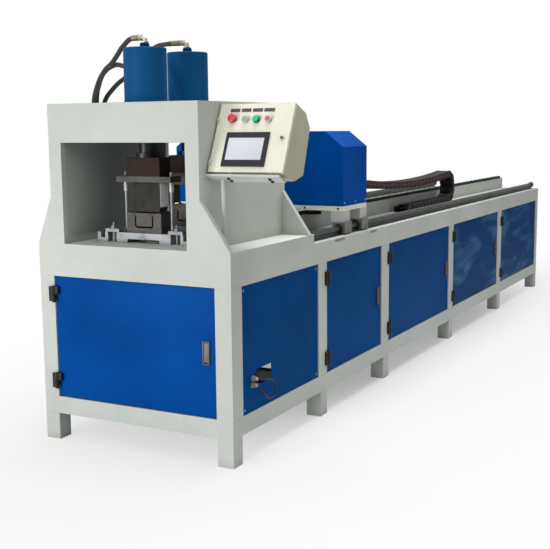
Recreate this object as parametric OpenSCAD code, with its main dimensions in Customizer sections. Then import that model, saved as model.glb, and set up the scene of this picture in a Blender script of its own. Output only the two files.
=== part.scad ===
// Automatic punching machine: a two-cylinder hydraulic punching head on a cabinet,
// followed by a long bed with a rack-driven feed carriage.
// +Z up, +Y from the head along the bed, +X towards the operator's console.
// The origin is on the floor, under the middle of the whole machine, console included.

/* [Bed] */
// Length of the machine, from the front plate to the end of the bed
bed_len = 5558; // [5400:1:5700]
// Width over the frame
base_w = 1052; // [1000:1:1100]
// Height of the underside of the bottom rails above the floor
foot_h = 130; // [90:1:200]
// Height of the bottom rails
low_rail_h = 84; // [60:1:100]
// Height at which the doors and panels end
panel_top = 800; // [760:1:820]
// Height of the bed's top face
bed_top = 907; // [880:1:915]
// Side of the square legs
leg_w = 80; // [60:1:90]

/* [Head] */
// Height of the table that carries the dies
table_top = 955; // [945:1:965]
// Height of the head's top face
head_top = 1600; // [1560:1:1640]
// Middle of the head across the machine
head_x = -33; // [-60:1:0]
// Width of the head above its flare
head_w = 819; // [780:1:860]
// Height at which the flare of the end plates starts
flare_z = 1174; // [1100:1:1250]
// Thickness of the head's front and back plates
plate_t = 28; // [20:1:35]
// Outer face of the back plate's inner side, behind the front face
back_plate_y = 765; // [740:1:780]
// Height of the window's top edge
window_top = 1423; // [1400:1:1450]

/* [Cylinders and dies] */
// Distance of the front cylinder behind the front face
front_cyl_y = 208; // [200:1:220]
// Distance between the two cylinders
cyl_pitch = 356; // [340:1:370]
// Outer radius of a cylinder barrel
barrel_r = 99; // [90:1:105]
// Height of a barrel
barrel_h = 248; // [230:1:270]
// Radius of the piston rods
rod_r = 40; // [35:1:45]
// Free stroke of each ram above the closed die
ram_stroke = 70; // [40:1:72]
// Half the length of the guide plates and die shoes
shoe_half = 152; // [148:1:156]
// Distance of each guide pillar from the cylinder's axis
pillar_x = 128; // [126:1:134]
// Radius of the guide pillars
pillar_r = 8; // [7:0.5:9]
// Width across the outside of the die's profile slot
slot_w = 104; // [90:1:110]
// Width of the profile slot's own gap
slot_gap = 8; // [6:1:10]

/* [Doors] */
// Width of the gap round each door
door_gap = 3; // [2:0.5:4]
// Depth of a door or panel behind the face of the frame
door_recess = 6; // [4:1:10]
// Depth of a door's folded edge
door_t = 18; // [12:1:22]
// Thickness of the sheet metal
sheet = 3; // [2:0.5:4]

/* [Console] */
// Width of the console
console_w = 365; // [340:1:380]
// Height of the console's face, along its slope
console_h = 316; // [300:1:325]
// Lean of the face from upright
console_tilt = 24; // [18:0.5:26]

/* [Carriage] */
// Front face of the carriage, behind the front of the machine
carriage_y = 1257; // [1230:1:1300]
// Length of the carriage along the bed
carriage_len = 324; // [310:1:340]
// Distance of the guide rails from the middle of the bed
rail_x = 462; // [455:1:466]
// Radius of the guide rails
rail_r = 16; // [14:1:18]
// Module of the rack and its pinion
gear_module = 5; // [4:1:5]
// Number of teeth of the pinion
pinion_teeth = 16; // [14:1:18]

/* [Drag chain] */
// Pitch of the chain's links
link_pitch = 75; // [74:1:79]
// Height of a link
link_h = 48; // [40:1:50]
// Width of the chain
chain_w = 100; // [80:1:110]
// Start of the bend, behind the front of the machine
bend_y = 3572; // [3500:1:3650]

/* [Hidden] */
$fn = 48;
frame_grey = "#cdd1cc";
door_blue = "#0a4f9e";
cover_blue = "#1560bd";
cream = "#e8e6d8";
steel = "#a9adb0";
dark_steel = "#4a4a48";
black = "#1c1c1e";
brass = "#b9924a";

side_x = base_w / 2;
low_rail_top = foot_h + low_rail_h;
panel_h = panel_top - low_rail_top;
// Start and width of each upright, along the bed
posts = [[0, 91], [870, 100], [1727, 114], [2974, 98], [4219, 102], [5487, 71]];
post_t = 60;
front_post_w = 83;
top_rail_w = 80;
bay_count = len(posts) - 1;
// Doorway of bay i, as its start and end along the bed
function bay(i) = [posts[i][0] + posts[i][1], posts[i + 1][0]];
front_door_w = base_w - 2 * front_post_w;
deck_t = 12;
cross_h = bed_top - deck_t - 823;
table_end = 820;
wall_t = 70;
top_plate_t = 60;
head_l = head_x - head_w / 2;
head_r = head_x + head_w / 2;
window_l = head_l + wall_t;
window_r = head_r - wall_t;
stations = [front_cyl_y, front_cyl_y + cyl_pitch];
die_depth = 90;
shoe_depth = 110;
shoe_top = table_top + 48;
die_top = [1096, 1108];
slot_floor = 1026;
slot_arm_top = 1081;
guide_plate_z = 1239;
guide_plate_t = 26;
holder_top = 1352;
bushing_z = 1193;
bushing_r = 12;
punch_gap = 7;
punch_r = 6;
punch_x = 22;
gland_h = 40;
piston_z = head_top + gland_h + 20;
neck_top = head_top + barrel_h + 23;
running = 0.05;
port_z = 1660;
port_turn = 120;

hinge_r = 9;
hinge_h = 70;
pin_r = 4;
hinge_z = [low_rail_top + 80, panel_top - 86];
latch_in = 50;
latch_z = 508;
latch_w = 24;
latch_h = 94;

console_x = 382;
console_y = 59;
console_z = 1298;
console_pan = 16;
console_pin = [1.6, -3.4];
knuckle_h = 14;
button_z = 240;
estop_at = [77, 243];
lamp_left_at = [140, button_z];
start_at = [194, button_z];
lamp_right_at = [252, button_z];
key_at = [333, 155];
screen_at = [64, 25];
screen_size = [207, 154];

rail_z = 940;
bearing_len = 90;
carriage_end = carriage_y + carriage_len;
plate_z = 1035;
plate_h = 25;
cover_z = plate_z + plate_h;
cover_top = 1460;
cover_side = 316;
cover_slope = 107;
cover_l = -570;
cover_r = 489;
wall_x = 170;
wall_w = 28;
rack_z = 998;
rack_h = 20;
pitch = PI * gear_module;
pitch_line = wall_x + wall_w - gear_module;
pinion_r = gear_module * pinion_teeth / 2;
pinion_x = pitch_line + pinion_r;
pinion_y = carriage_y + 163;
jaw_travel = 30;

chain_x = 230;
link_gap = 0.4;
upper_links = 26;
lower_links = 11;
bend_links = 4;
link_turn = 180 / bend_links;
lower_pin_z = bed_top + link_h / 2 + 0.3;
// The bend is half of a polygon whose sides are links, so its height is that polygon's width
bend_top = lower_pin_z + link_pitch / sin(link_turn / 2);
// Lean of the upper run's first link and the turn of each link against the one before
sag_first = 4.5;
sag_turn = 0.48;

// Middle of the whole machine, from its carriage cover to its console and from the
// knuckles of the front door to the end of the bed
mid_x = floor((cover_l + console_x + console_w) / 2);
mid_y = bed_len / 2 - hinge_r;

// Hoses and cable: points along their middles, measured from the front of the bed
hose_r = 11.5;
cable_r = 4;
hose_front_cap_route = [
    [-100, 212, 1895], [-130, 222, 1889], [-166, 240, 1873], [-198, 252, 1854],
    [-227, 265, 1832], [-282, 290, 1794], [-335, 312, 1770], [-381, 332, 1737],
    [-410, 348, 1712], [-436, 362, 1680], [-458, 375, 1650], [-474, 386, 1616],
    [-486, 393, 1560], [-494, 396, 1480], [-498, 396, 1360], [-497, 395, 1220],
    [-493, 395, 1090], [-490, 395, 990]];
hose_front_rod_route = [
    [-98, 321, 1716], [-102, 323, 1738], [-122, 322, 1760], [-160, 314, 1768],
    [-200, 306, 1772], [-238, 306, 1781], [-279, 320, 1787], [-336, 346, 1779],
    [-380, 364, 1762], [-416, 380, 1737], [-446, 396, 1700], [-470, 410, 1660],
    [-484, 422, 1612], [-492, 430, 1540], [-499, 433, 1430], [-499, 434, 1280],
    [-494, 432, 1130], [-490, 430, 990]];
hose_rear_cap_route = [
    [-100, 560, 1895], [-153, 552, 1892], [-202, 541, 1881], [-250, 530, 1846],
    [-290, 519, 1806], [-325, 510, 1769], [-360, 502, 1738], [-400, 492, 1709],
    [-434, 482, 1675], [-464, 476, 1640], [-480, 472, 1600], [-490, 470, 1540],
    [-496, 469, 1450], [-499, 468, 1340], [-497, 468, 1210], [-493, 467, 1090],
    [-490, 466, 990]];
sensor_cable_route = [
    [552, 186, 366], [564, 204, 362], [566, 236, 358], [564, 276, 348],
    [560, 316, 328], [556, 340, 300], [554, 344, 272], [554, 320, 254],
    [556, 286, 254], [560, 250, 268], [564, 216, 292], [562, 194, 322],
    [552, 182, 338]];

// ---- Frames of reference ----

// Children are measured from the front face, on the middle line of the bed
module at_bed() {
    translate([-mid_x, -mid_y, 0]) children();
}

module both_sides() {
    children();
    mirror([1, 0, 0]) children();
}

// Children are measured from a cylinder's axis, at the floor
module at_station(i) {
    at_bed() translate([head_x, stations[i], 0]) children();
}

// A doorway's frame: x along the door from its hinge, y into the machine
module at_front_doorway() {
    at_bed() translate([-front_door_w / 2, -hinge_r, 0]) children();
}

module at_bay_doorway(i) {
    at_bed() translate([side_x + hinge_r, bay(i)[0], 0]) rotate([0, 0, 90]) children();
}

// The console's frame: x to the right, y into the console, z up along its face
module at_console() {
    at_bed() translate([console_x, console_y, console_z]) rotate([-console_tilt, 0, 0]) children();
}

module box(from, to) {
    translate(from) cube(to - from);
}

// A flat shape in X and Z, given thickness towards +Y
module upright_plate(thickness) {
    translate([0, thickness, 0]) rotate([90, 0, 0]) linear_extrude(thickness) children();
}

// ---- Bed frame ----

module frame_uprights() {
    color(frame_grey) at_bed() both_sides() for (p = posts) {
        front = p[0] == 0;
        width = front ? front_post_w : post_t;
        leg_start = front ? 0 : p[0] + p[1] - leg_w;
        box([side_x - width, p[0], low_rail_top], [side_x, p[0] + p[1], panel_top]);
        box([side_x - leg_w, leg_start, 0], [side_x, leg_start + leg_w, foot_h]);
    }
}

module side_rails() {
    color(frame_grey) at_bed() both_sides() {
        box([side_x - post_t, 0, foot_h], [side_x, bed_len, low_rail_top]);
        box([side_x - top_rail_w, plate_t, panel_top], [side_x, bed_len, bed_top]);
    }
}

// Cross members between the side rails, with four more that carry the inner units
module cross_rails() {
    low = side_x - post_t;
    high = side_x - top_rail_w;
    carriers = [260, 640, 2080, 2620];
    color(frame_grey) at_bed() {
        for (p = posts) box([-low, p[0], foot_h], [low, p[0] + 60, low_rail_top]);
        for (y = carriers) box([-low, y, foot_h], [low, y + 60, low_rail_top]);
        for (i = [1 : bay_count])
            box([-high, posts[i][0], 823], [high, posts[i][0] + 60, 823 + cross_h]);
    }
}

// A folded sheet panel, w long and h high, with its face on y = 0
module pan(w, h, depth) {
    difference() {
        cube([w, depth, h]);
        translate([sheet, sheet, sheet]) cube([w - 2 * sheet, depth, h - 2 * sheet]);
    }
}

module fixed_panels() {
    depth = 15;
    recess_x = side_x - door_recess;
    right = bay(0);
    color(door_blue) at_bed() {
        // right side of the cabinet, with its cable opening
        difference() {
            translate([recess_x, right[0], low_rail_top]) rotate([0, 0, 90])
                pan(right[1] - right[0], panel_h, depth);
            box([recess_x - 30, 215, 326], [recess_x + 1, 370, 400]);
        }
        for (i = [0 : bay_count - 1])
            translate([-recess_x, bay(i)[1], low_rail_top]) rotate([0, 0, -90])
                pan(bay(i)[1] - bay(i)[0], panel_h, depth);
        // far end of the bed
        translate([side_x - post_t, bed_len - door_recess, low_rail_top]) rotate([0, 0, 180])
            pan(base_w - 2 * post_t, panel_h, depth);
    }
}

// Deck between the top rails; the drag chain lies on it
module bed_deck() {
    edge = side_x - top_rail_w;
    color(frame_grey) at_bed()
        box([-edge, table_end, bed_top - deck_t], [edge, bed_len, bed_top]);
}

// ---- Head ----

module die_table() {
    color(frame_grey) at_bed() difference() {
        box([-side_x, plate_t, bed_top], [side_x, table_end, table_top]);
        // slugs fall through under each die
        for (y = stations) translate([head_x - 40, y - 20, bed_top - 1]) cube([80, 40, 60]);
    }
}

// Outline of an end plate from z0 up, flared down to the full width of the frame
module end_plate_outline(z0) {
    polygon([[-side_x, z0], [side_x, z0], [side_x, table_top], [head_r, flare_z],
             [head_r, head_top], [head_l, head_top], [head_l, flare_z], [-side_x, table_top]]);
}

module head_front_plate() {
    color(frame_grey) at_bed() upright_plate(plate_t) difference() {
        end_plate_outline(panel_top);
        translate([window_l, table_top]) square([window_r - window_l, window_top - table_top]);
    }
}

module head_back_plate() {
    sill = table_top + 20;
    left = window_l + 62;
    right = window_r - 36;
    color(frame_grey) at_bed() translate([0, back_plate_y, 0]) upright_plate(plate_t) difference() {
        end_plate_outline(table_top);
        translate([left, sill]) square([right - left, window_top - sill]);
    }
}

// Two thick side walls under the plate that the cylinders stand on
module head_box() {
    color(frame_grey) at_bed() difference() {
        box([head_l, plate_t, table_top], [head_r, back_plate_y, head_top]);
        box([window_l, plate_t - 1, table_top - 1], [window_r, back_plate_y + 1, head_top - top_plate_t]);
        for (y = stations) translate([head_x, y, head_top - top_plate_t - 1])
            cylinder(r = rod_r + 8, h = top_plate_t + 2);
    }
}

// ---- Doors, hinges and latches ----

// Frame's half of a lift-off hinge, with its pin, in a doorway's frame
module hinge_frame_half(z) {
    translate([0, 0, z]) {
        translate([-26, -3, -hinge_h / 2]) cube([26, hinge_r + 3, hinge_h]);
        translate([0, 0, -hinge_h / 2]) cylinder(r = hinge_r, h = hinge_h / 2 - 1);
        translate([0, 0, -hinge_h / 2]) cylinder(r = pin_r, h = hinge_h - 2);
    }
}

module hinge_halves() {
    module half_pair() {
        for (z = hinge_z) difference() {
            hinge_frame_half(z);
            // room for the door's knuckle to turn on the pin
            translate([0, 0, z - 1]) difference() {
                cylinder(r = hinge_r + 1, h = hinge_h);
                translate([0, 0, -1]) cylinder(r = pin_r, h = hinge_h + 2);
            }
        }
    }
    color(black) {
        at_front_doorway() half_pair();
        for (i = [1 : bay_count - 1]) at_bay_doorway(i) half_pair();
    }
}

// A folded door, w wide, with its hinge halves and the frame of its latch
module door_leaf(w) {
    face = hinge_r + door_recess;
    low = low_rail_top + door_gap;
    latch_x = w - latch_in;
    rim = 5;
    stand = 7;
    difference() {
        union() {
            translate([door_gap, face, low]) pan(w - 2 * door_gap, panel_h - 2 * door_gap, door_t);
            for (z = hinge_z) translate([0, 0, z + 1]) {
                translate([0, -3, 0]) cube([26, face + 3.5, hinge_h / 2 - 1]);
                cylinder(r = hinge_r, h = hinge_h / 2 - 1);
            }
            translate([latch_x - latch_w / 2 - rim, face - stand, latch_z - latch_h / 2 - rim])
                cube([latch_w + 2 * rim, stand, latch_h + 2 * rim]);
        }
        for (z = hinge_z) translate([0, 0, z]) cylinder(r = pin_r + running, h = hinge_h);
        translate([latch_x - latch_w / 2 - 0.5, face - stand - 1, latch_z - latch_h / 2 - 1])
            cube([latch_w + 1, stand + 1, latch_h + 2]);
        latch_pin(latch_x, latch_w / 2 + 3.5, 2.5 + running);
    }
}

// Cross pin at the top of a latch, in a doorway's frame
module latch_pin(x, half, r) {
    translate([x - half, hinge_r + door_recess - 4, latch_z + latch_h / 2 - 4])
        rotate([0, 90, 0]) cylinder(r = r, h = 2 * half);
}

// Flush paddle that swings out at its lower end, on a door w wide
module latch_paddle(w) {
    x = w - latch_in;
    face = hinge_r + door_recess;
    difference() {
        union() {
            translate([x - latch_w / 2, face - 6, latch_z - latch_h / 2])
                cube([latch_w, 4, latch_h - 2]);
            latch_pin(x, latch_w / 2, 3);
            latch_pin(x, latch_w / 2 + 3, 2.5);
        }
        // finger recess at the lower end
        translate([x, face - 7, latch_z - latch_h / 2]) rotate([-90, 0, 0]) cylinder(r = 8, h = 3);
    }
}

module front_door() { color(door_blue) at_front_doorway() door_leaf(front_door_w); }
module bay_door(i) { color(door_blue) at_bay_doorway(i) door_leaf(bay(i)[1] - bay(i)[0]); }
module front_door_latch() { color(steel) at_front_doorway() latch_paddle(front_door_w); }
module bay_latch(i) { color(steel) at_bay_doorway(i) latch_paddle(bay(i)[1] - bay(i)[0]); }

// ---- Dies and rams ----

// Base plate of each die set, with its two guide pillars
module die_shoes() {
    color(steel) for (i = [0, 1]) at_station(i) difference() {
        union() {
            box([-shoe_half, -shoe_depth / 2, table_top], [shoe_half, shoe_depth / 2, shoe_top]);
            for (s = [-1, 1]) translate([s * pillar_x, 0, shoe_top - 5])
                cylinder(r = pillar_r, h = 287);
        }
        box([-90, -shoe_depth / 2 - 1, table_top - 1], [90, shoe_depth / 2 + 1, table_top + 18]);
        for (s = [-1, 1]) translate([s * punch_x, 0, table_top]) cylinder(r = punch_r + 3, h = 60);
    }
}

// A U, open at the top, with rounded lower corners
module round_u(half, floor, top, r) {
    polygon(concat([[-half, top]],
        [for (a = [180 : 30 : 270]) [-half + r + r * cos(a), floor + r + r * sin(a)]],
        [for (a = [270 : 30 : 360]) [half - r + r * cos(a), floor + r + r * sin(a)]],
        [[half, top]]));
}

// Gap that the U-shaped profile slides through, in X and Z
module profile_slot() {
    difference() {
        round_u(slot_w / 2, slot_floor, slot_arm_top, 14);
        round_u(slot_w / 2 - slot_gap, slot_floor + slot_gap, slot_arm_top + 1, 6);
    }
}

module die_blocks() {
    color(dark_steel) for (i = [0, 1]) at_station(i) difference() {
        box([-96, -die_depth / 2, shoe_top], [96, die_depth / 2, die_top[i]]);
        translate([0, -die_depth / 2 - 1, 0]) upright_plate(die_depth + 2) profile_slot();
        for (s = [-1, 1]) translate([s * punch_x, 0, shoe_top - 1])
            cylinder(r = punch_r + 0.4, h = 130);
    }
}

// Step clamps that hold the shoes down near their front edge: a heel with two steps,
// a bar, a stud and its nut
module strap_clamps() {
    bar_t = 16;
    half = 17;
    stud_x = 178;
    heel = [204, 264];
    color(steel) for (i = [0, 1]) at_station(i) translate([0, -37, 0]) both_sides() {
        box([heel[0], -half, table_top], [heel[1], half, table_top + 20]);
        box([heel[0], -half, table_top], [heel[0] + 16, half, shoe_top]);
        box([heel[1] - 20, -half, table_top], [heel[1], half, shoe_top - 2]);
        box([138, -half, shoe_top], [heel[0] + 12, half, shoe_top + bar_t]);
        translate([stud_x, 0, table_top]) cylinder(r = 7, h = 92);
        translate([stud_x, 0, shoe_top + bar_t]) cylinder(r = 15, h = 12, $fn = 6);
    }
}

module cylinder_barrels() {
    edge = 4;
    color(cover_blue) for (i = [0, 1]) at_station(i) translate([0, 0, head_top]) difference() {
        union() {
            cylinder(r = barrel_r, h = barrel_h - edge);
            translate([0, 0, barrel_h - edge]) cylinder(r1 = barrel_r, r2 = barrel_r - edge, h = edge);
            cylinder(r = 20, h = neck_top - head_top);
            // boss of the rod-side port
            rotate([0, 0, port_turn]) translate([0, 0, port_z - head_top]) rotate([0, 90, 0])
                cylinder(r = 18, h = barrel_r + 8);
        }
        translate([0, 0, -1]) cylinder(r = rod_r + running, h = gland_h + 2);
        translate([0, 0, gland_h]) cylinder(r = barrel_r - 19, h = barrel_h - gland_h - 28);
    }
}

module piston_rod(i) {
    color(steel) at_station(i) {
        translate([0, 0, holder_top]) cylinder(r = rod_r, h = piston_z - holder_top + 1);
        translate([0, 0, holder_top]) cylinder(r = 55, h = 20);
        translate([0, 0, piston_z]) cylinder(r = barrel_r - 19 - running, h = 40);
    }
}

module punch_holder(i) {
    color("#6b4c44") at_station(i) difference() {
        box([-93, -die_depth / 2, guide_plate_z + guide_plate_t], [93, die_depth / 2, holder_top]);
        // counterbored screws that hang the guide plate
        for (x = [-70, 70], y = [-28, 28]) translate([x, y, holder_top - 14]) cylinder(r = 9, h = 20);
    }
}

// Guide plate with the two bushings that run on the pillars
module guide_plate(i) {
    color(steel) at_station(i) difference() {
        union() {
            box([-shoe_half, -die_depth / 2, guide_plate_z],
                [shoe_half, die_depth / 2, guide_plate_z + guide_plate_t]);
            for (s = [-1, 1]) translate([s * pillar_x, 0, bushing_z])
                cylinder(r = bushing_r, h = guide_plate_z - bushing_z + 5);
        }
        for (s = [-1, 1]) translate([s * pillar_x, 0, bushing_z - 1])
            cylinder(r = pillar_r + running, h = 90);
    }
}

// Two punches, which stand in the die when the ram is down
module punch_pair(top) {
    for (s = [-1, 1]) translate([s * punch_x, 0, slot_arm_top])
        cylinder(r = punch_r, h = top - slot_arm_top);
}

// Wide block of the front ram, stepped back at its left end
module front_punch_block() {
    left = -74;
    step = -34;
    right = 92;
    bevel = 13;
    low = die_top[0] + punch_gap;
    color("#5a594f") at_station(0) {
        translate([0, -38, 0]) upright_plate(62) polygon([
            [step, guide_plate_z], [step, low], [right - bevel, low],
            [right, low + 2 * bevel], [right, guide_plate_z]]);
        box([left, -22, low], [step, 24, guide_plate_z]);
        punch_pair(low + 1);
    }
}

// Low retainer of the rear ram, with a stop block on each side
module rear_punch_block() {
    retainer = guide_plate_z - 32;
    color("#5a594f") at_station(1) {
        box([-92, -38, retainer], [92, 24, guide_plate_z]);
        both_sides() box([76, -38, die_top[1] + punch_gap], [pillar_x - bushing_r - 2, 24, guide_plate_z]);
        punch_pair(retainer + 1);
    }
}

// ---- Hydraulic lines ----

// Elbow on a barrel's cap: up from the neck, then towards -X with its crimped sleeve
module cap_elbow(reach) {
    translate([0, 0, neck_top]) cylinder(r = 16, h = 10, $fn = 6);
    translate([0, 0, neck_top]) cylinder(r = 12, h = 38);
    translate([0, 0, 1895]) rotate([0, -90, 0]) cylinder(r = 11, h = reach - 30);
    translate([20 - reach, 0, 1895]) rotate([0, -90, 0]) cylinder(r = 15, h = 14, $fn = 6);
    translate([30 - reach, 0, 1895]) rotate([0, -90, 0]) cylinder(r = 14, h = 30);
}

module line_fittings() {
    reach = -100 - head_x;
    elbow_r = barrel_r + 32;
    rod_port = [head_x + elbow_r * cos(port_turn), front_cyl_y + elbow_r * sin(port_turn)];
    color(brass) {
        at_bed() translate([head_x, 212, 0]) cap_elbow(-reach);
        at_bed() translate([head_x, 560, 0]) cap_elbow(-reach);
        at_bed() {
            translate([head_x, front_cyl_y, port_z]) rotate([0, 0, port_turn]) rotate([0, 90, 0])
                translate([0, 0, barrel_r + 8]) cylinder(r = 11, h = 24);
            translate([rod_port[0], rod_port[1], port_z - 11]) cylinder(r = 12, h = 30);
            translate([rod_port[0], rod_port[1], port_z + 18]) cylinder(r = 14, h = 38);
            for (y = [395, 430, 466]) {
                translate([-490, y, table_top]) cylinder(r = 16, h = 12, $fn = 6);
                translate([-490, y, table_top]) cylinder(r = 13, h = 35);
            }
            // glands of the sensor cable
            for (p = [[186, 366], [182, 338]]) translate([side_x - door_recess, p[0], p[1]])
                rotate([0, 90, 0]) {
                    cylinder(r = 13, h = 14);
                    cylinder(r = 9, h = 552 - side_x + door_recess);
                }
        }
    }
}

// A tube swept along a route, with its rings turned by a fixed side direction
module swept_tube(route, r, side, n) {
    last = len(route) - 1;
    rings = [for (i = [0 : last])
        let (t = route[min(i + 1, last)] - route[max(i - 1, 0)],
             a = cross(t, side) / norm(cross(t, side)),
             b = cross(a, t) / norm(t))
        for (k = [0 : n - 1])
            route[i] + r * (cos(360 * k / n) * a + sin(360 * k / n) * b)];
    skin = [for (i = [0 : last - 1], k = [0 : n - 1])
        [i * n + k, i * n + (k + 1) % n, (i + 1) * n + (k + 1) % n, (i + 1) * n + k]];
    low_cap = [[for (k = [n - 1 : -1 : 0]) k]];
    high_cap = [[for (k = [0 : n - 1]) last * n + k]];
    polyhedron(rings, concat(skin, low_cap, high_cap));
}

module hose(route) { color(black) at_bed() swept_tube(route, hose_r, [0, 1, 0], 10); }
module hose_front_cap() { hose(hose_front_cap_route); }
module hose_front_rod() { hose(hose_front_rod_route); }
module hose_rear_cap() { hose(hose_rear_cap_route); }
module sensor_cable() { color(black) at_bed() swept_tube(sensor_cable_route, cable_r, [1, 0, 0], 8); }

// ---- Console ----

// Side profile of the console, in y (depth) and z
module console_profile(inset) {
    s = inset;
    polygon([[console_pan + 0.5, s], [console_pan + 0.5, console_h - s], [105 - s / 2, console_h - s],
             [167 - s, 272 - s / 2], [186 - s, 60 + s / 2], [116 - s / 2, 6 + s], [60, s]]);
}

module along_x(length) {
    rotate([90, 0, 90]) linear_extrude(length) children();
}

module console_housing() {
    straps = [40, console_h - 80];
    color(cream) at_console() {
        difference() {
            along_x(console_w) console_profile(0);
            translate([sheet, -1, 0]) along_x(console_w - 2 * sheet) console_profile(sheet);
        }
        // hinge straps on the left, each with its pin
        for (z = straps) translate([0, 0, z]) {
            box([-2.4, -3, -knuckle_h], [0, 40, 0]);
            box([-2.4, 0, -1], [0, 40, knuckle_h]);
            translate([console_pin[0], console_pin[1], -knuckle_h]) {
                cylinder(r = 3.2, h = knuckle_h);
                cylinder(r = 1.5, h = 2 * knuckle_h - 1);
            }
        }
    }
}

// Hinged front of the console, with collars for the buttons
module console_door() {
    bores = [[estop_at, 11], [lamp_left_at, 11], [start_at, 11], [lamp_right_at, 11], [key_at, 7]];
    straps = [40, console_h - 80];
    color(cream) at_console() difference() {
        union() {
            translate([0.6, 0, 0]) pan(console_w - 0.6, console_h, console_pan);
            for (b = bores) translate([b[0][0], 0, b[0][1]]) rotate([90, 0, 0])
                cylinder(r = b[1] + 3, h = 4);
            for (z = straps) translate([0, 0, z + 0.5]) {
                translate([console_pin[0], console_pin[1], 0]) cylinder(r = 3.2, h = knuckle_h - 1);
                box([console_pin[0], -4.5, 0], [9, 1, knuckle_h - 1]);
            }
        }
        for (b = bores) translate([b[0][0], 30, b[0][1]]) rotate([90, 0, 0])
            cylinder(r = b[1] + 0.1, h = 60);
        for (z = straps) translate([console_pin[0], console_pin[1], z])
            cylinder(r = 1.5 + running, h = 2 * knuckle_h);
        // room for the housing's straps
        for (z = straps) box([-5, -20, z - knuckle_h - 0.5], [0.3, 20, z + knuckle_h + 0.5]);
        for (z = straps) translate([console_pin[0], console_pin[1], z - knuckle_h - 0.5])
            cylinder(r = 3.8, h = knuckle_h + 0.8);
        translate([screen_at[0], -1, screen_at[1]]) cube([screen_size[0], 30, screen_size[1]]);
    }
}

module touch_screen() {
    glass = [175, 102];
    color("#3a3b40") at_console() translate([screen_at[0], -7, screen_at[1]]) difference() {
        cube([screen_size[0], 26, screen_size[1]]);
        translate([13, -1, 28]) cube([glass[0], 2.5, glass[1]]);
    }
}

// A round push button: a stem through the door and a cap in front of its collar
module push_button(at, stem_r, cap_r, cap_h) {
    at_console() translate([at[0], 0, at[1]]) rotate([90, 0, 0]) {
        translate([0, 0, -14]) cylinder(r = stem_r, h = 30);
        translate([0, 0, 10]) cylinder(r = cap_r, h = cap_h);
    }
}

module estop_button() {
    color("#c01818") push_button(estop_at, 11, 20, 15);
}
module lamp_button_left() { color("#d8e4dc") push_button(lamp_left_at, 11, 15, 6); }
module start_button() { color("#1f9a4c") push_button(start_at, 11, 16, 6); }
module lamp_button_right() { color("#e4d8d8") push_button(lamp_right_at, 11, 15, 6); }

// Cam lock with its key slot; its cam lies behind the door
module key_lock() {
    color(steel) at_console() translate([key_at[0], 0, key_at[1]]) rotate([90, 0, 0]) difference() {
        union() {
            translate([0, 0, -22]) cylinder(r = 7, h = 27);
            translate([0, 0, 4.2]) cylinder(r = 9, h = 2.5);
            translate([-7, -30, -22]) cube([14, 30, 3]);
        }
        translate([-1, -6, 3]) cube([2, 12, 10]);
    }
}

// Shelf under the console on its four spacers, and the post that carries it
module console_stand() {
    post_x = 444;
    color(frame_grey) {
        at_console() {
            box([head_r - console_x, -4.5, -22], [console_w - 8, 62, -12]);
            for (x = [101, 301], y = [20, 47]) translate([x, y, 0]) {
                translate([0, 0, -13]) cylinder(r = 8, h = 13);
                translate([0, 0, -28]) cylinder(r = 7, h = 8, $fn = 6);
            }
        }
        at_bed() translate([post_x, 90, table_top]) cylinder(r = 10, h = 314);
    }
}

// ---- Rails, rack and carriage ----

// Round rails on their continuous supports, each with a stop collar at the far end
module bed_rails() {
    start = table_end + 10;
    end = bed_len - 28;
    color(steel) at_bed() both_sides() translate([rail_x, start, 0]) {
        translate([0, 0, rail_z]) rotate([-90, 0, 0]) cylinder(r = rail_r, h = end - start);
        box([-25, 0, bed_top], [25, end - start, bed_top + 4]);
        box([-6, 0, bed_top], [6, end - start, rail_z]);
        translate([0, end - start, rail_z]) rotate([-90, 0, 0]) cylinder(r = 24, h = 18);
    }
}

module beam_wall() {
    color(frame_grey) at_bed()
        box([wall_x, table_end + 10, bed_top], [wall_x + wall_w, bed_len - 18, rack_z]);
}

// Rack in lengths laid end to end, with its teeth towards +X
module gear_rack() {
    lengths = 5;
    teeth = 59;
    start = table_end + 20;
    foot = pitch_line - 1.25 * gear_module;
    tip = pitch_line + gear_module;
    flank = tan(20);
    half_foot = pitch / 4 + 1.25 * gear_module * flank;
    half_tip = pitch / 4 - gear_module * flank;
    color(dark_steel) at_bed() for (k = [0 : lengths - 1])
        translate([0, start + k * teeth * pitch, rack_z]) linear_extrude(rack_h)
            polygon(concat(
                [[wall_x, 0.1], [foot, 0.1]],
                [for (i = [0 : teeth - 1], p = [[foot, -half_foot], [tip, -half_tip],
                                                [tip, half_tip], [foot, half_foot]])
                    [p[0], (i + 0.5) * pitch + p[1]]],
                [[foot, teeth * pitch - 0.1], [wall_x, teeth * pitch - 0.1]]));
}

// Spur gear whose tooth spaces are cut to run on the rack
module spur_gear(teeth, h) {
    r = gear_module * teeth / 2;
    tip = r + gear_module;
    foot = r - 1.25 * gear_module;
    // half angles of a tooth at its foot, pitch circle and tip, with a little backlash
    half = [98 / teeth, 82 / teeth, 34 / teeth];
    linear_extrude(h) polygon([for (i = [0 : teeth - 1], p = [[foot, -half[0]], [r, -half[1]],
            [tip, -half[2]], [tip, half[2]], [r, half[1]], [foot, half[0]]])
        p[0] * [cos(i * 360 / teeth + p[1]), sin(i * 360 / teeth + p[1])]]);
}

// Turn that puts the pinion in mesh with the rack at rest
function mesh_turn() =
    let (along = (pinion_y - (table_end + 20)) / pitch,
         off = along - floor(along))
    180 + off * 360 / pinion_teeth;

module drive_pinion() {
    color(dark_steel) at_bed() translate([pinion_x, pinion_y, 0]) {
        translate([0, 0, rack_z]) rotate([0, 0, mesh_turn()]) spur_gear(pinion_teeth, rack_h);
        translate([0, 0, rack_z]) cylinder(r = 14, h = cover_z - rack_z + 30);
    }
}

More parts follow.
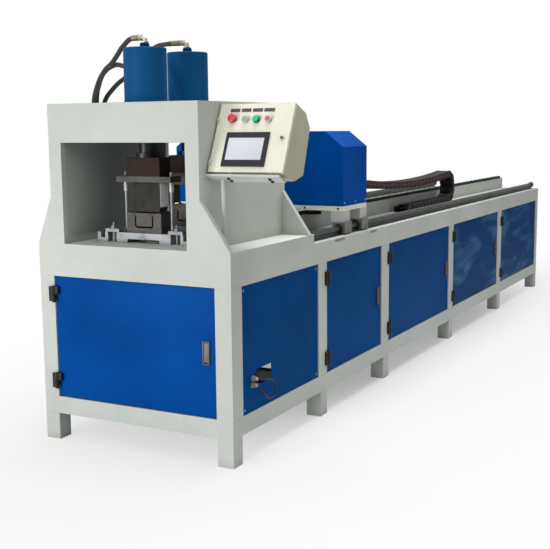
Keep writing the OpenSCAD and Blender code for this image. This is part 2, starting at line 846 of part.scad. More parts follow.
module servo_motor() {
    color(black) at_bed() translate([pinion_x, pinion_y, cover_z]) difference() {
        union() {
            box([-60, -60, 0], [60, 60, 20]);
            box([-50, -50, 20], [50, 50, 90]);
            box([-55, -55, 90], [55, 55, 240]);
            cylinder(r = 38, h = 300);
            box([-20, 50, 150], [20, 85, 200]);
        }
        translate([0, 0, -1]) cylinder(r = 14 + running, h = 40);
    }
}

// Plate of the carriage with its risers, the chain's bracket and the feed gripper's frame
module carriage_base() {
    grip_l = head_x - 60;
    grip_r = head_x + 60;
    grip_y = carriage_y - 100;
    sole = slot_floor - 2;
    color(cream) at_bed() difference() {
        union() {
            box([cover_l, carriage_y, plate_z], [cover_r, carriage_end, cover_z]);
            both_sides() for (y = [carriage_y, carriage_end - bearing_len])
                box([rail_x - 45, y, rail_z + 35], [rail_x + 27, y + bearing_len, plate_z + 1]);
            box([chain_x, carriage_end, plate_z], [chain_x + chain_w, carriage_end + 6, 1202]);
            chain_clevis();
            // gripper: lower jaw, two cheeks and the bridge over them
            box([grip_l, grip_y, 1000], [grip_r, carriage_y + 1, sole]);
            for (x = [grip_l - 16, grip_r]) {
                box([x, grip_y, 1000], [x + 16, carriage_y + 1, cover_z]);
                box([x, grip_y, 1000], [x + 16, carriage_y - 1, 1170]);
            }
            box([grip_l - 16, grip_y, 1150], [grip_r + 16, carriage_y - 1, 1170]);
        }
        translate([pinion_x, pinion_y, plate_z - 1]) cylinder(r = 24, h = plate_h + 2);
        translate([head_x, carriage_y - 50, 1140]) cylinder(r = 14 + running, h = 40);
        // the profile may enter the carriage
        box([grip_l, carriage_y - 1, sole], [grip_r, carriage_y + 60, cover_z + 2]);
    }
}

// Two ears on the carriage's bracket, with the pins that carry the chain's first link
module chain_clevis() {
    pin = upper_pin(upper_links);
    ear = 6 + link_gap;
    for (s = [0, 1]) translate([chain_x + s * chain_w, pin[0], pin[1]]) mirror([s, 0, 0]) {
        box([ear, carriage_end - pin[0] + 1, -14], [ear + 6, 0, 14]);
        translate([ear, 0, 0]) rotate([0, 90, 0]) cylinder(r = 14, h = 6);
        rotate([0, 90, 0]) cylinder(r = 4.7, h = ear + 2);
    }
}

// Upper jaw, raised at rest, on its round stem
module gripper_jaw() {
    color(dark_steel) at_bed() translate([head_x, carriage_y - 50, 0]) {
        box([-58, -46, 1120], [58, 46, 1142]);
        translate([0, 0, 1141]) cylinder(r = 14, h = 70);
    }
}

module cover_outline(inset) {
    s = inset;
    top = cover_top - s;
    side = cover_z + cover_side - s / 2;
    polygon([[cover_l + s, cover_z], [cover_l + s, side], [cover_l + cover_slope + s / 3, top],
             [cover_r - cover_slope - s / 3, top], [cover_r - s, side], [cover_r - s, cover_z]]);
}

module carriage_cover() {
    color(cover_blue) at_bed() translate([0, carriage_y, 0]) difference() {
        upright_plate(carriage_len) cover_outline(0);
        translate([0, sheet, -1]) upright_plate(carriage_len - 2 * sheet) cover_outline(sheet);
    }
}

// Open bearing blocks that run on the round rails
module bearing_blocks() {
    color(steel) at_bed() both_sides() for (y = [carriage_y, carriage_end - bearing_len])
        translate([rail_x, y, 0]) difference() {
            box([-38, 0, bed_top + 7], [38, bearing_len, rail_z + 35]);
            translate([0, -1, rail_z]) rotate([-90, 0, 0]) cylinder(r = rail_r + running, h = 100);
            box([-11, -1, bed_top], [11, 100, rail_z]);
        }
}

// ---- Drag chain ----

// One link, from its first pin at the origin to its second at y = pitch.
// Its cheeks overlap the next link's: outside at the first pin, inside at the second.
module chain_link() {
    r = link_h / 2;
    cheek = 6;
    difference() {
        union() for (s = [0, 1]) translate([s * chain_w, 0, 0]) mirror([s, 0, 0]) {
            // outer half, round the first pin
            rotate([0, 90, 0]) cylinder(r = r, h = cheek);
            box([0, 0, -r], [cheek, link_pitch - r - 2, r]);
            // inner half, round the second pin
            translate([cheek + link_gap, link_pitch, 0]) rotate([0, 90, 0]) cylinder(r = r, h = cheek);
            box([cheek + link_gap, r + 2, -r], [2 * cheek + link_gap, link_pitch, r]);
            box([0, r + 2, -r], [2 * cheek + link_gap, link_pitch - r - 2, r]);
        }
        rotate([0, 90, 0]) translate([0, 0, -1]) cylinder(r = 5, h = chain_w + 2);
    }
    // cross bars, and the pins of the second end
    for (z = [-r, r - 4]) box([1, r + 4, z], [chain_w - 1, link_pitch - r - 4, z + 4]);
    for (s = [0, 1]) translate([s * chain_w, link_pitch, 0]) mirror([s, 0, 0])
        rotate([0, 90, 0]) cylinder(r = 4.7, h = 8);
}

// Rise, towards the carriage, of the upper run's n-th link before the bend
function sag_lean(n) = sag_turn * (n - 1) - sag_first;
// Far end of that link, as [y, z], counted back from the start of the bend
function upper_pin(n) = n == 0 ? [bend_y, bend_top]
    : upper_pin(n - 1) - link_pitch * [cos(sag_lean(n)), -sin(sag_lean(n))];

module chain_upper_run() {
    color(black) at_bed() for (n = [1 : upper_links]) {
        pin = upper_pin(n);
        translate([chain_x, pin[0], pin[1]]) rotate([-sag_lean(n), 0, 0]) chain_link();
    }
}

// Downward lean of the bend's i-th link
function bend_lean(i) = (i + 0.5) * link_turn;
// Position of the bend's i-th pin, as [y, z]
function bend_pin(i) = i == 0 ? [bend_y, bend_top]
    : bend_pin(i - 1) + link_pitch * [cos(bend_lean(i - 1)), -sin(bend_lean(i - 1))];

module chain_bend() {
    color(black) at_bed() for (i = [0 : bend_links - 1])
        translate([chain_x, bend_pin(i)[0], bend_pin(i)[1]]) rotate([-bend_lean(i), 0, 0]) chain_link();
}

module chain_lower_run() {
    color(black) at_bed() {
        for (i = [0 : lower_links - 1])
            translate([chain_x, bend_y - i * link_pitch, lower_pin_z]) rotate([180, 0, 0]) chain_link();
        translate([chain_x, bend_y - lower_links * link_pitch, lower_pin_z]) chain_anchor();
    }
}

// Bracket of the chain's fixed end: a sole on the deck with an ear round each pin
module chain_anchor() {
    ear = 6;
    ear_r = 16;
    front = -66;
    low = -link_h / 2;
    difference() {
        union() {
            for (x = [0, chain_w - ear]) {
                translate([x, 0, 0]) rotate([0, 90, 0]) cylinder(r = ear_r, h = ear);
                box([x, front, low], [x + ear, 0, ear_r]);
            }
            box([0, front, low], [chain_w, -30, low + 5]);
        }
        translate([-1, 0, 0]) rotate([0, 90, 0]) cylinder(r = 5, h = chain_w + 2);
    }
}

// ---- Units inside the cabinet ----

// Oil tank with its electric motor, pump and valve block
module power_pack() {
    color(dark_steel) at_bed() {
        box([-260, 240, low_rail_top], [240, 720, 520]);
        translate([-60, 320, 640]) rotate([-90, 0, 0]) cylinder(r = 85, h = 250);
        box([-130, 340, 519], [10, 540, 570]);
        translate([-60, 569, 640]) rotate([-90, 0, 0]) cylinder(r = 45, h = 90);
        box([110, 480, 519], [210, 640, 640]);
        translate([180, 300, 519]) cylinder(r = 30, h = 40);
    }
}

// Electrical cabinet behind the second bay's door
module control_box() {
    color(cream) at_bed() difference() {
        box([60, 2050, low_rail_top], [400, 2710, 740]);
        box([80, 2070, 234], [401, 2690, 720]);
    }
}

frame_uprights();
side_rails();
cross_rails();
fixed_panels();
bed_deck();
die_table();
head_front_plate();
head_back_plate();
head_box();
hinge_halves();
die_shoes();
die_blocks();
strap_clamps();
cylinder_barrels();
line_fittings();
hose_front_cap();
hose_front_rod();
hose_rear_cap();
sensor_cable();
console_housing();
console_stand();
bed_rails();
beam_wall();
gear_rack();
chain_lower_run();
power_pack();
control_box();
piston_rod(0);  // front_piston_rod
punch_holder(0);  // front_punch_holder
guide_plate(0);  // front_guide_plate
front_punch_block();
piston_rod(1);  // rear_piston_rod
punch_holder(1);  // rear_punch_holder
guide_plate(1);  // rear_guide_plate
rear_punch_block();
front_door();
bay_door(1);  // bay_door_1
bay_door(2);  // bay_door_2
bay_door(3);  // bay_door_3
bay_door(4);  // bay_door_4
front_door_latch();
bay_latch(1);  // bay_latch_1
bay_latch(2);  // bay_latch_2
bay_latch(3);  // bay_latch_3
bay_latch(4);  // bay_latch_4
console_door();
touch_screen();
estop_button();
lamp_button_left();
start_button();
lamp_button_right();
key_lock();
carriage_base();
carriage_cover();
bearing_blocks();
servo_motor();
drive_pinion();
gripper_jaw();
chain_upper_run();
chain_bend();
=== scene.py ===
import math
import bmesh
import bpy
from mathutils import Matrix, Vector


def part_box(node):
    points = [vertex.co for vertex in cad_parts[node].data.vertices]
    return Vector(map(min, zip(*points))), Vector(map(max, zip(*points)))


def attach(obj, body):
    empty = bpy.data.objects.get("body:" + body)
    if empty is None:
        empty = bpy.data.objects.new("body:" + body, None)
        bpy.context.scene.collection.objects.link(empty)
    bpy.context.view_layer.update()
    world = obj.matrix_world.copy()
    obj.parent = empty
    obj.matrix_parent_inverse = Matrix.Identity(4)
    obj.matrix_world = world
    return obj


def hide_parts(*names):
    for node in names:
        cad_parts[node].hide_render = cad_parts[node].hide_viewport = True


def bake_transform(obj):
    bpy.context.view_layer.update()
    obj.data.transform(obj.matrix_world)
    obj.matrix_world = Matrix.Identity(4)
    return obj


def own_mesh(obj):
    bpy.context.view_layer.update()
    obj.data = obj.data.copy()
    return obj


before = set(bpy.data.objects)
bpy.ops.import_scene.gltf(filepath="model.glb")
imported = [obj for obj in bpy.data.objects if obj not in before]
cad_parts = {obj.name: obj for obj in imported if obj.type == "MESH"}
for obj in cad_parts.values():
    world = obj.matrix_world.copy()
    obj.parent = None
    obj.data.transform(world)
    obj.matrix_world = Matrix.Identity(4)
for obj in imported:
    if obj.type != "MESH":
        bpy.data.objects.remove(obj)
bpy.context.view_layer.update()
scene = bpy.context.scene
print("frame loaded,", len(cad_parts), "nodes")


# ---- camera ----

camera = {
    "place": (2.5595, -6.3611, 1.4866),
    "yaw": 27.984,  # degrees, to the left of +Y
    "pitch": 8.502,  # degrees, downwards
    "roll": -0.543,
    "lens": 64.69,
    "sensor": 36,
    "reach": 60,
}


def addCamera(c):
    yaw, pitch, roll = (math.radians(c[k]) for k in ("yaw", "pitch", "roll"))
    flat = math.cos(pitch)
    forward = Vector((-math.sin(yaw) * flat, math.cos(yaw) * flat, -math.sin(pitch)))
    level = Vector((math.cos(yaw), math.sin(yaw), 0))
    up = level.cross(forward)
    right = level * math.cos(roll) + up * math.sin(roll)
    top = up * math.cos(roll) - level * math.sin(roll)
    data = bpy.data.cameras.new("camera")
    data.lens = c["lens"]
    data.sensor_width = c["sensor"]
    data.clip_end = c["reach"]
    made = bpy.data.objects.new("camera", data)
    turn = Matrix((right, top, -forward)).transposed().to_4x4()
    made.matrix_world = Matrix.Translation(c["place"]) @ turn
    scene.collection.objects.link(made)
    scene.camera = made


addCamera(camera)


# ---- nodes written as sums ----


class Value:
    # a socket of a node, with the operators that the trees below use
    def __init__(self, nodes, socket):
        self.nodes = nodes
        self.socket = socket

    def sum(self, operation, *others):
        terms = dict(enumerate((self,) + others))
        return self.nodes.node("ShaderNodeMath", terms, operation=operation)

    def __add__(self, other):
        return self.sum("ADD", other)

    def __mul__(self, other):
        return self.sum("MULTIPLY", other)

    def __sub__(self, other):
        return self.sum("SUBTRACT", other)

    def __rsub__(self, other):
        return self.nodes.node("ShaderNodeMath", {0: other, 1: self}, operation="SUBTRACT")

    def __pow__(self, other):
        return self.sum("POWER", other)

    __radd__ = __add__
    __rmul__ = __mul__

    def __getitem__(self, name):  # another output of the same node
        return Value(self.nodes, self.socket.node.outputs[name])

    def above(self, edge, width):  # 0 below the edge, 1 above it, soft over the width
        ends = {"Value": self, "From Min": edge - width / 2, "From Max": edge + width / 2}
        return self.nodes.node("ShaderNodeMapRange", ends, interpolation_type="SMOOTHSTEP")


class Nodes:
    # one node tree; node() is the only way that it grows
    def __init__(self, tree):
        self.tree = tree

    def node(self, kind, inputs=None, output=0, **settings):
        made = self.tree.nodes.new(kind)
        for name, value in settings.items():
            setattr(made, name, value)
        for name, value in (inputs or {}).items():
            socket = made.inputs[name]
            if isinstance(value, Value):
                self.tree.links.new(value.socket, socket)
            elif value is not None:
                socket.default_value = value
        return Value(self, made.outputs[output]) if made.outputs else None


def rgb(red, green, blue):
    # a colour as seen on screen, 0 to 255, in the linear numbers that shaders take
    def straight(c):
        c = c / 255
        return c / 12.92 if c <= 0.04045 else ((c + 0.055) / 1.055) ** 2.4

    return (straight(red), straight(green), straight(blue), 1)


class Finish(Nodes):
    # a material under construction; done() closes it with its principled shader
    def __init__(self, name):
        self.material = bpy.data.materials.new(name)
        self.material.use_nodes = True
        super().__init__(self.material.node_tree)
        self.tree.nodes.clear()
        self.place = self.node("ShaderNodeTexCoord", output="Object")

    def axis(self, name, at=None):
        return self.node("ShaderNodeSeparateXYZ", {"Vector": at or self.place}, name)

    def facingUp(self, width):
        # 1 on what faces up, 0 on walls
        return self.axis("Z", self.node("ShaderNodeNewGeometry", output="Normal")).above(0.8, width)

    def stretched(self, x, y, z):
        return self.node("ShaderNodeMapping", {"Vector": self.place, "Scale": (x, y, z)})

    def noise(self, scale, detail, roughness, at=None, swirl=0.0):
        sizes = {"Vector": at or self.place, "Scale": scale, "Detail": detail,
                 "Roughness": roughness, "Distortion": swirl}
        return self.node("ShaderNodeTexNoise", sizes)

    def mix(self, first, second, mask):
        return self.node("ShaderNodeMix", {0: mask, 6: first, 7: second}, 2, data_type="RGBA")

    def kept(self, value):  # no lower than 0 and no higher than 1
        return self.node("ShaderNodeClamp", {"Value": value})

    def corner(self, radius):
        # the normal as if every edge had that radius
        return self.node("ShaderNodeBevel", {"Radius": radius}, samples=4)

    def edges(self, rounded, gain):
        # 0 on flats, towards 1 at sharp edges
        both = {0: rounded, 1: self.node("ShaderNodeNewGeometry", output="True Normal")}
        same = self.node("ShaderNodeVectorMath", both, "Value", operation="DOT_PRODUCT")
        return self.kept((1 - same) * gain)

    def grimeAndShade(self, distance, gain):
        # 1 deep in corners, 0 in the open; it marks dust there, and painted shade
        reach = {"Distance": distance}
        clear = self.node("ShaderNodeAmbientOcclusion", reach, "AO", samples=6, only_local=False)
        return self.kept((1 - clear) * gain)

    def bump(self, height, strength, distance, normal=None):
        sizes = {"Height": height, "Strength": strength, "Distance": distance, "Normal": normal}
        return self.node("ShaderNodeBump", sizes)

    def done(self, colour, roughness, metallic, normal, **fixed):
        values = {"Base Color": colour, "Roughness": roughness, "Metallic": metallic, "Normal": normal}
        values.update({name.replace("_", " "): value for name, value in fixed.items()})
        shader = self.node("ShaderNodeBsdfPrincipled", values)
        self.node("ShaderNodeOutputMaterial", {"Surface": shader})
        return self.material


# ---- finishes ----


def enamel(name, look):
    # sprayed enamel on sheet or plate: cloudy tone, orange peel, rubbed edges, dust in corners
    f = Finish(name)
    spread = f.stretched(*look["stretch"]) if "stretch" in look else None
    cloud = f.noise(look["cloudScale"], 4, look["cloudGrain"], spread, look["swirl"])
    speck = f.noise(60, 5, 0.7)
    rounded = f.corner(look["edgeRadius"])
    rubbed = f.edges(rounded, 5) * f.noise(35, 4, 0.7).above(0.52, 0.2)
    dust = f.grimeAndShade(0.05, 1.3) * (0.35 + speck * 0.9)
    tone = f.mix(look["low"], look["high"], cloud.above(look["cloudAt"], look["cloudEdge"]))
    if "top" in look:  # painted light: what faces up is made paler, as if lit more from above
        tone = f.mix(tone, look["top"], f.facingUp(0.2) * (0.75 + cloud * 0.3))
    if "bare" in look:  # steel legs under a painted plate
        tone = f.mix(look["bare"], tone, f.axis("Z").above(look["under"], 0.004))
    worn = f.mix(tone, look["edge"], rubbed * look["wear"])
    dirty = f.mix(worn, look["dirt"], dust * look["dust"])
    streak = f.noise(9, 4, 0.65, f.stretched(1, 1, 0.12)).above(0.66, 0.14)
    streaked = f.mix(dirty, look["dirt"], streak * look["streaks"])
    if "shade" in look:  # painted shade inside the head's window, darkest where its walls close in
        x, y, z = (f.axis(way).above(low, soft) * (1 - f.axis(way).above(high, 0.004))
                   for way, low, high, soft in look["window"])
        streaked = f.mix(streaked, look["shade"], f.grimeAndShade(0.55, 1.0).above(0.62, 0.5) * (x * y * z))
    peel = f.noise(260, 2, 0.4) * 0.7 + f.noise(40, 2, 0.5) * 0.3
    normal = f.bump(peel, look["peel"], 0.0012, rounded)
    rough = look["roughness"] + (cloud - 0.5) * 0.12 + dust * 0.25
    return f.done(streaked, rough, 0.0, normal, Specular_IOR_Level=look["specular"], IOR=look["ior"])


def brushedMetal(name, look):
    # ground or drawn steel: fine lines along one axis, cloudy oil, darker in corners
    f = Finish(name)
    lines = f.noise(look["lineScale"], 3, 0.6, f.stretched(*look["along"]))
    oil = f.noise(7, 4, 0.6)
    rounded = f.corner(look["edgeRadius"])
    bright = f.mix(look["low"], look["high"], lines)
    if "bushings" in look:  # ground bushings under a plate
        bright = f.mix(look["bushings"], bright, f.axis("Z").above(look["under"], 0.002))
    oily = f.mix(bright, look["stain"], oil.above(0.58, 0.2) * look["stained"])
    dark = f.mix(oily, look["stain"], f.grimeAndShade(0.02, 1.2) * 0.7)
    shiny = f.mix(dark, look["edge"], f.edges(rounded, 4) * 0.5)
    rough = look["roughness"] + (lines - 0.5) * 0.2 + oil.above(0.5, 0.4) * 0.08
    normal = f.bump(lines, look["depth"], 0.0006, rounded)
    return f.done(shiny, rough, look["metallic"], normal)


def toolSteel(name, look):
    # dark die steel with oil, heat tints, a film of rust and painted shade in its corners
    f = Finish(name)
    blotch = f.noise(14, 5, 0.65)
    fine = f.noise(120, 4, 0.6)
    rounded = f.corner(0.0015)
    base = f.mix(look["low"], look["high"], blotch.above(0.5, 0.4))
    rust = (blotch * 0.6 + fine * 0.4).above(look["rustEdge"], 0.12)
    rusty = f.mix(base, look["rust"], rust * look["rusted"])
    if "machined" in look:  # a near-white strip along one side of the piece: ground steel, with a painted highlight far paler than its shade allows
        strip = f.axis("X").above(look["machined"], 0.004)
        rusty = f.mix(rusty, look["ground"], strip * (0.75 + fine * 0.4))
    worn = f.mix(rusty, look["edge"], f.edges(rounded, 5) * 0.8)
    # near-black deep in corners and recesses: painted shade
    dark = f.mix(worn, rgb(18, 16, 15), f.grimeAndShade(0.015, 1.4) * 0.8)
    rough = look["roughness"] + rust * 0.25 + (fine - 0.5) * 0.1
    normal = f.bump(fine * 0.6 + blotch * 0.4, 0.25, 0.0008, rounded)
    return f.done(dark, rough, look["metallic"], normal, Specular_IOR_Level=look["specular"])


def moulded(name, colour, roughness, coat=0.0, grain=0.12, specular=0.5):
    # plastic with a fine moulded grain
    f = Finish(name)
    tone = f.noise(30, 3, 0.5)
    dark = tuple(c * 0.82 for c in colour[:3]) + (1,)
    mixed = f.mix(dark, colour, tone.above(0.42, 0.5))
    dusty = f.mix(mixed, rgb(120, 116, 108), f.grimeAndShade(0.01, 1.0) * 0.12)
    normal = f.bump(f.noise(900, 2, 0.5), grain, 0.0003, f.corner(0.0012))
    return f.done(dusty, roughness + (tone - 0.5) * 0.1, 0.0, normal, Coat_Weight=coat,
                  Specular_IOR_Level=specular)


def dustyNylon(name, look):
    # moulded chain links with pale dust lying on what faces up
    f = Finish(name)
    tone = f.noise(24, 3, 0.6)
    lying = f.facingUp(0.3) * (0.55 + f.noise(16, 4, 0.65) * 0.6)
    rounded = f.corner(0.0012)
    worn = f.mix(f.mix(look["low"], look["high"], tone), look["edge"], f.edges(rounded, 4) * 0.4)
    dusty = f.mix(worn, look["dust"], lying)
    normal = f.bump(f.noise(700, 2, 0.5), 0.12, 0.0003, rounded)
    return f.done(dusty, 0.5 + lying * 0.2, 0.0, normal, Specular_IOR_Level=0.25)


def hoseSkin(name, look):
    # rubber with the print of the cloth that it was cured in, wound round the hose
    f = Finish(name)
    around = f.node("ShaderNodeUVMap", uv_map="UVMap")
    turn = f.axis("X", around) * (2 * math.pi * look["threads"])
    run = f.axis("Y", around) * (2 * math.pi / look["lay"])
    weave = (turn + run).sum("SINE").sum("MAXIMUM", (turn - run).sum("SINE"))
    scuff = f.noise(18, 4, 0.65).above(0.56, 0.2)
    tone = f.mix(look["low"], look["high"], weave * 0.25 + 0.4)
    dusty = f.mix(tone, look["dust"], scuff * look["dusty"])
    return f.done(dusty, 0.5 + scuff * 0.2, 0.0, f.bump(weave, 0.35, 0.0008))


def litGlass(name, look):
    # a lit panel behind glass with a few smears
    f = Finish(name)
    face = f.mix(look["low"], look["high"], f.noise(5, 2, 0.4).above(0.5, 0.5))
    smear = f.noise(22, 4, 0.6, f.stretched(1, 1, 0.4))
    rough = 0.35 + smear.above(0.6, 0.2) * 0.15
    return f.done(face, rough, 0.0, f.bump(smear, 0.05, 0.0004), Specular_IOR_Level=0.3)


def tinted(base, low, high, edge=None, **rest):
    # the base look with its own darker, lighter and edge colours
    look = dict(base, low=rgb(*low), high=rgb(*high), **rest)
    if edge:
        look["edge"] = rgb(*edge)
    return look


greyLook = tinted(
    {}, (194, 200, 193), (208, 213, 206), (228, 231, 226), dirt=rgb(120, 119, 106), cloudScale=1.6,
    cloudGrain=0.6, cloudAt=0.5, cloudEdge=0.5, swirl=0.0, edgeRadius=0.003, wear=0.8, dust=0.45,
    streaks=0.04, peel=0.10, roughness=0.5, specular=0.3, ior=1.45)
blueLook = tinted(
    greyLook, (0, 66, 142), (0, 78, 162), (86, 140, 205), dirt=rgb(18, 42, 76), cloudScale=2.2,
    edgeRadius=0.002, wear=0.9, dust=0.5, streaks=0.10, peel=0.05, roughness=0.3, ior=1.12)
creamLook = tinted(
    greyLook, (230, 229, 210), (240, 239, 222), (247, 246, 236), dirt=rgb(140, 135, 112),
    cloudScale=5, edgeRadius=0.002, wear=0.5, dust=0.4, streaks=0.05, peel=0.16)
steelLook = tinted(
    {}, (132, 136, 140), (188, 191, 194), (228, 230, 232), stain=rgb(70, 66, 60), stained=0.5,
    lineScale=10, along=(1, 60, 60), edgeRadius=0.0012, depth=0.12, roughness=0.38, metallic=0.75)
dieLook = tinted(
    {}, (54, 53, 49), (78, 77, 71), (140, 136, 125), rust=rgb(84, 58, 46), rustEdge=0.56,
    rusted=0.35, roughness=0.45, metallic=0.4, specular=0.5)
# the box of the head's window, where its painted shade lies
headWindow = [  # axis, where it starts and ends, softness of its start
    ("X", -0.468, 0.226, 0.004), ("Y", -2.748, -1.970, 0.004), ("Z", 0.985, 1.550, 0.03)]

enamels = {
    "framePaint": greyLook,
    # painted shade: inside the head's window this grey turns dark
    "boxPaint": dict(greyLook, shade=rgb(52, 54, 52), window=headWindow),
    # painted light: its top faces paler than its sides
    "tablePaint": dict(greyLook, top=rgb(240, 242, 238), dust=0.2),
    "scuffedPaint": tinted(greyLook, (134, 126, 114), (158, 149, 136), (176, 168, 154), cloudScale=12),
    "doorPaint": blueLook,
    "sidePaint": tinted(blueLook, (0, 66, 126), (0, 77, 144), roughness=0.4, specular=0.12),
    # painted reflection: light cloudy patches, stretched and swirled, stand for the wavy reflections on
    # these doors
    "wavyDoorPaint": tinted(
        blueLook, (0, 62, 118), (68, 112, 156), cloudScale=5.5, cloudEdge=0.3, cloudAt=0.57,
        cloudGrain=0.5, swirl=0.8, stretch=(1, 0.3, 1), roughness=0.4, specular=0.15),
    "cylinderPaint": tinted(blueLook, (16, 76, 124), (24, 85, 136), (90, 150, 215), roughness=0.36),
    "coverPaint": tinted(
        blueLook, (0, 68, 146), (0, 80, 168), (40, 120, 225), roughness=0.38, specular=0.15),
    "neckPaint": tinted(blueLook, (4, 40, 84), (8, 52, 100)),
    "creamPaint": creamLook,
    "carriagePaint": dict(creamLook, bare=rgb(194, 198, 196), under=1.034),
    # painted shade: a darker copy of the cream, for the console's housing whose sides lie in shade
    "housingPaint": tinted(creamLook, (192, 189, 166), (204, 201, 178)),
}
metals = {
    "groundSteel": tinted(steelLook, (122, 125, 127), (168, 171, 173), (228, 229, 229), metallic=0.4),
    "bearingSteel": tinted(steelLook, (112, 114, 112), (146, 147, 144), metallic=0.5),
    "wornSteel": tinted(
        steelLook, (46, 45, 42), (78, 76, 72), stain=rgb(38, 34, 31), stained=0.6, roughness=0.45,
        metallic=0.5, bushings=rgb(186, 186, 182), under=1.238),
    "railSteel": tinted(
        steelLook, (66, 68, 70), (100, 102, 104), along=(60, 1, 60), lineScale=4, roughness=0.3,
        stained=0.35),
    "chromedSteel": tinted(
        steelLook, (92, 86, 84), (122, 116, 112), (190, 194, 198), stained=0.3, roughness=0.45,
        metallic=0.4),
    "smokedSteel": tinted(
        steelLook, (78, 68, 68), (112, 100, 98), stain=rgb(60, 42, 42), stained=0.7, roughness=0.5,
        metallic=0.4),
    # painted shade: the piston rods darkened near to black, as they stand in shade in the head; their
    # oil stains are their own
    "rodSteel": tinted(
        steelLook, (34, 34, 35), (66, 66, 67), (128, 127, 124), stain=rgb(22, 20, 18), stained=0.8,
        roughness=0.34, metallic=0.6),
    "paleBrass": tinted(
        steelLook, (190, 180, 150), (225, 220, 205), (240, 236, 222), stain=rgb(110, 98, 72),
        roughness=0.34, metallic=0.6),
    "dullBrass": tinted(
        steelLook, (138, 128, 90), (178, 168, 126), (214, 206, 170), stain=rgb(74, 64, 42),
        roughness=0.42, metallic=0.6),
    "zincPlate": tinted(steelLook, (150, 148, 138), (206, 204, 196), stain=rgb(60, 56, 50)),
}
toolSteels = {
    "dieSteel": dieLook,
    # painted highlight: the block's right side near-white, as ground steel catching light
    "punchSteel": tinted(
        dieLook, (46, 46, 42), (64, 65, 60), machined=-0.0305, ground=rgb(248, 247, 243),
        roughness=0.6, metallic=0.1, specular=0.1),
    "rustySteel": tinted(
        dieLook, (27, 24, 22), (56, 50, 45), (120, 110, 100), rust=rgb(76, 48, 40), rusted=0.5,
        rustEdge=0.5, roughness=0.55, specular=0.2),
    "rackSteel": tinted(dieLook, (34, 34, 33), (54, 53, 50), (112, 110, 104), rusted=0.15),
    "blackIron": tinted(dieLook, (22, 22, 24), (34, 34, 36), (84, 84, 86), rusted=0.05),
    "motorPaint": tinted(dieLook, (38, 40, 44), (58, 60, 64), (110, 112, 116), rusted=0.05),
}
skins = {
    "hoseRubber": tinted(
        {}, (26, 25, 24), (56, 53, 49), dust=rgb(92, 86, 76), dusty=0.35, threads=26, lay=0.020),
    "cableSkin": tinted(
        {}, (18, 20, 26), (38, 40, 46), dust=rgb(70, 70, 72), dusty=0.2, threads=8, lay=0.012),
}
nylons = {"chainNylon": tinted({}, (20, 17, 17), (30, 26, 26), (62, 58, 58), dust=rgb(88, 87, 84))}
glasses = {"displayGlass": tinted({}, (206, 210, 216), (216, 220, 226))}
plastics = {  # colour, roughness, coat, grain, specular level
    "blackRubber": (rgb(20, 20, 21), 0.6, 0.0, 0.3),
    "studPlastic": (rgb(156, 72, 70), 0.5, 0.0, 0.12, 0.3),
    "bezelPlastic": (rgb(52, 50, 58), 0.55, 0.0, 0.12, 0.2),
    "legendPlastic": (rgb(84, 77, 84), 0.45),
    "keyPlastic": (rgb(214, 209, 192), 0.4, 0.0, 0.05),
    "darkRedPlastic": (rgb(120, 24, 30), 0.4, 0.0, 0.05),
    "redPlastic": (rgb(214, 62, 70), 0.32, 0.2, 0.03),
    "greenPlastic": (rgb(44, 205, 140), 0.3, 0.2, 0.03),
    "darkGreenPlastic": (rgb(6, 92, 58), 0.35, 0.1, 0.03),
    "paleGreenPlastic": (rgb(148, 190, 174), 0.3, 0.2, 0.03),
    "paleRedPlastic": (rgb(196, 112, 118), 0.3, 0.2, 0.03),
    "whiteRing": (rgb(216, 216, 206), 0.35, 0.1, 0.03),
    "paleBlueScrew": (rgb(96, 150, 204), 0.4),
    # painted shade for the perforations' holes
    "darkHollow": (rgb(10, 12, 18), 0.8),
}
finishes = {name: moulded(name, *look) for name, look in plastics.items()}
for make, rows in ((enamel, enamels), (brushedMetal, metals), (toolSteel, toolSteels),
                   (hoseSkin, skins), (dustyNylon, nylons), (litGlass, glasses)):
    finishes.update({name: make(name, look) for name, look in rows.items()})

nodeFinish = {
    "framePaint": "frame_uprights side_rails cross_rails head_front_plate console_stand beam_wall "
                  "bed_deck",
    "tablePaint": "die_table",
    "boxPaint": "head_box head_back_plate",
    "doorPaint": "front_door",
    "sidePaint": "fixed_panels bay_door_1 bay_door_2",
    "wavyDoorPaint": "bay_door_3 bay_door_4",
    "cylinderPaint": "cylinder_barrels",
    "coverPaint": "carriage_cover",
    "creamPaint": "console_door control_box",
    "carriagePaint": "carriage_base",
    "housingPaint": "console_housing",
    "groundSteel": "die_shoes strap_clamps",
    "bearingSteel": "bearing_blocks",
    "wornSteel": "front_guide_plate rear_guide_plate",
    "railSteel": "bed_rails",
    "rackSteel": "gear_rack",
    "rodSteel": "front_piston_rod rear_piston_rod",
    "dieSteel": "die_blocks rear_punch_block gripper_jaw",
    "punchSteel": "front_punch_block",
    "rustySteel": "front_punch_holder rear_punch_holder",
    "blackIron": "hinge_halves drive_pinion",
    "motorPaint": "servo_motor power_pack",
    "bezelPlastic": "touch_screen",
}
for finish, nodes in nodeFinish.items():
    for name in nodes.split():
        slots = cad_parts[name].data.materials
        for i in range(len(slots)):
            slots[i] = finishes[finish]
print("finishes:", len(finishes))


# ---- frames to measure from, each in millimetres ----

layout = {
    "console": (382, 59, 1298),  # lower left corner of its door
    "consoleLean": -24,  # degrees
    "cabinetDoor": (-443, 886),  # hinge's x, width
    "bays": [(970, 1727), (1841, 2974), (3072, 4219), (4321, 5487)],
    "hingeOut": 9,  # how far the hinges' axes stand in front of the frame's face
}
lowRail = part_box("side_rails")
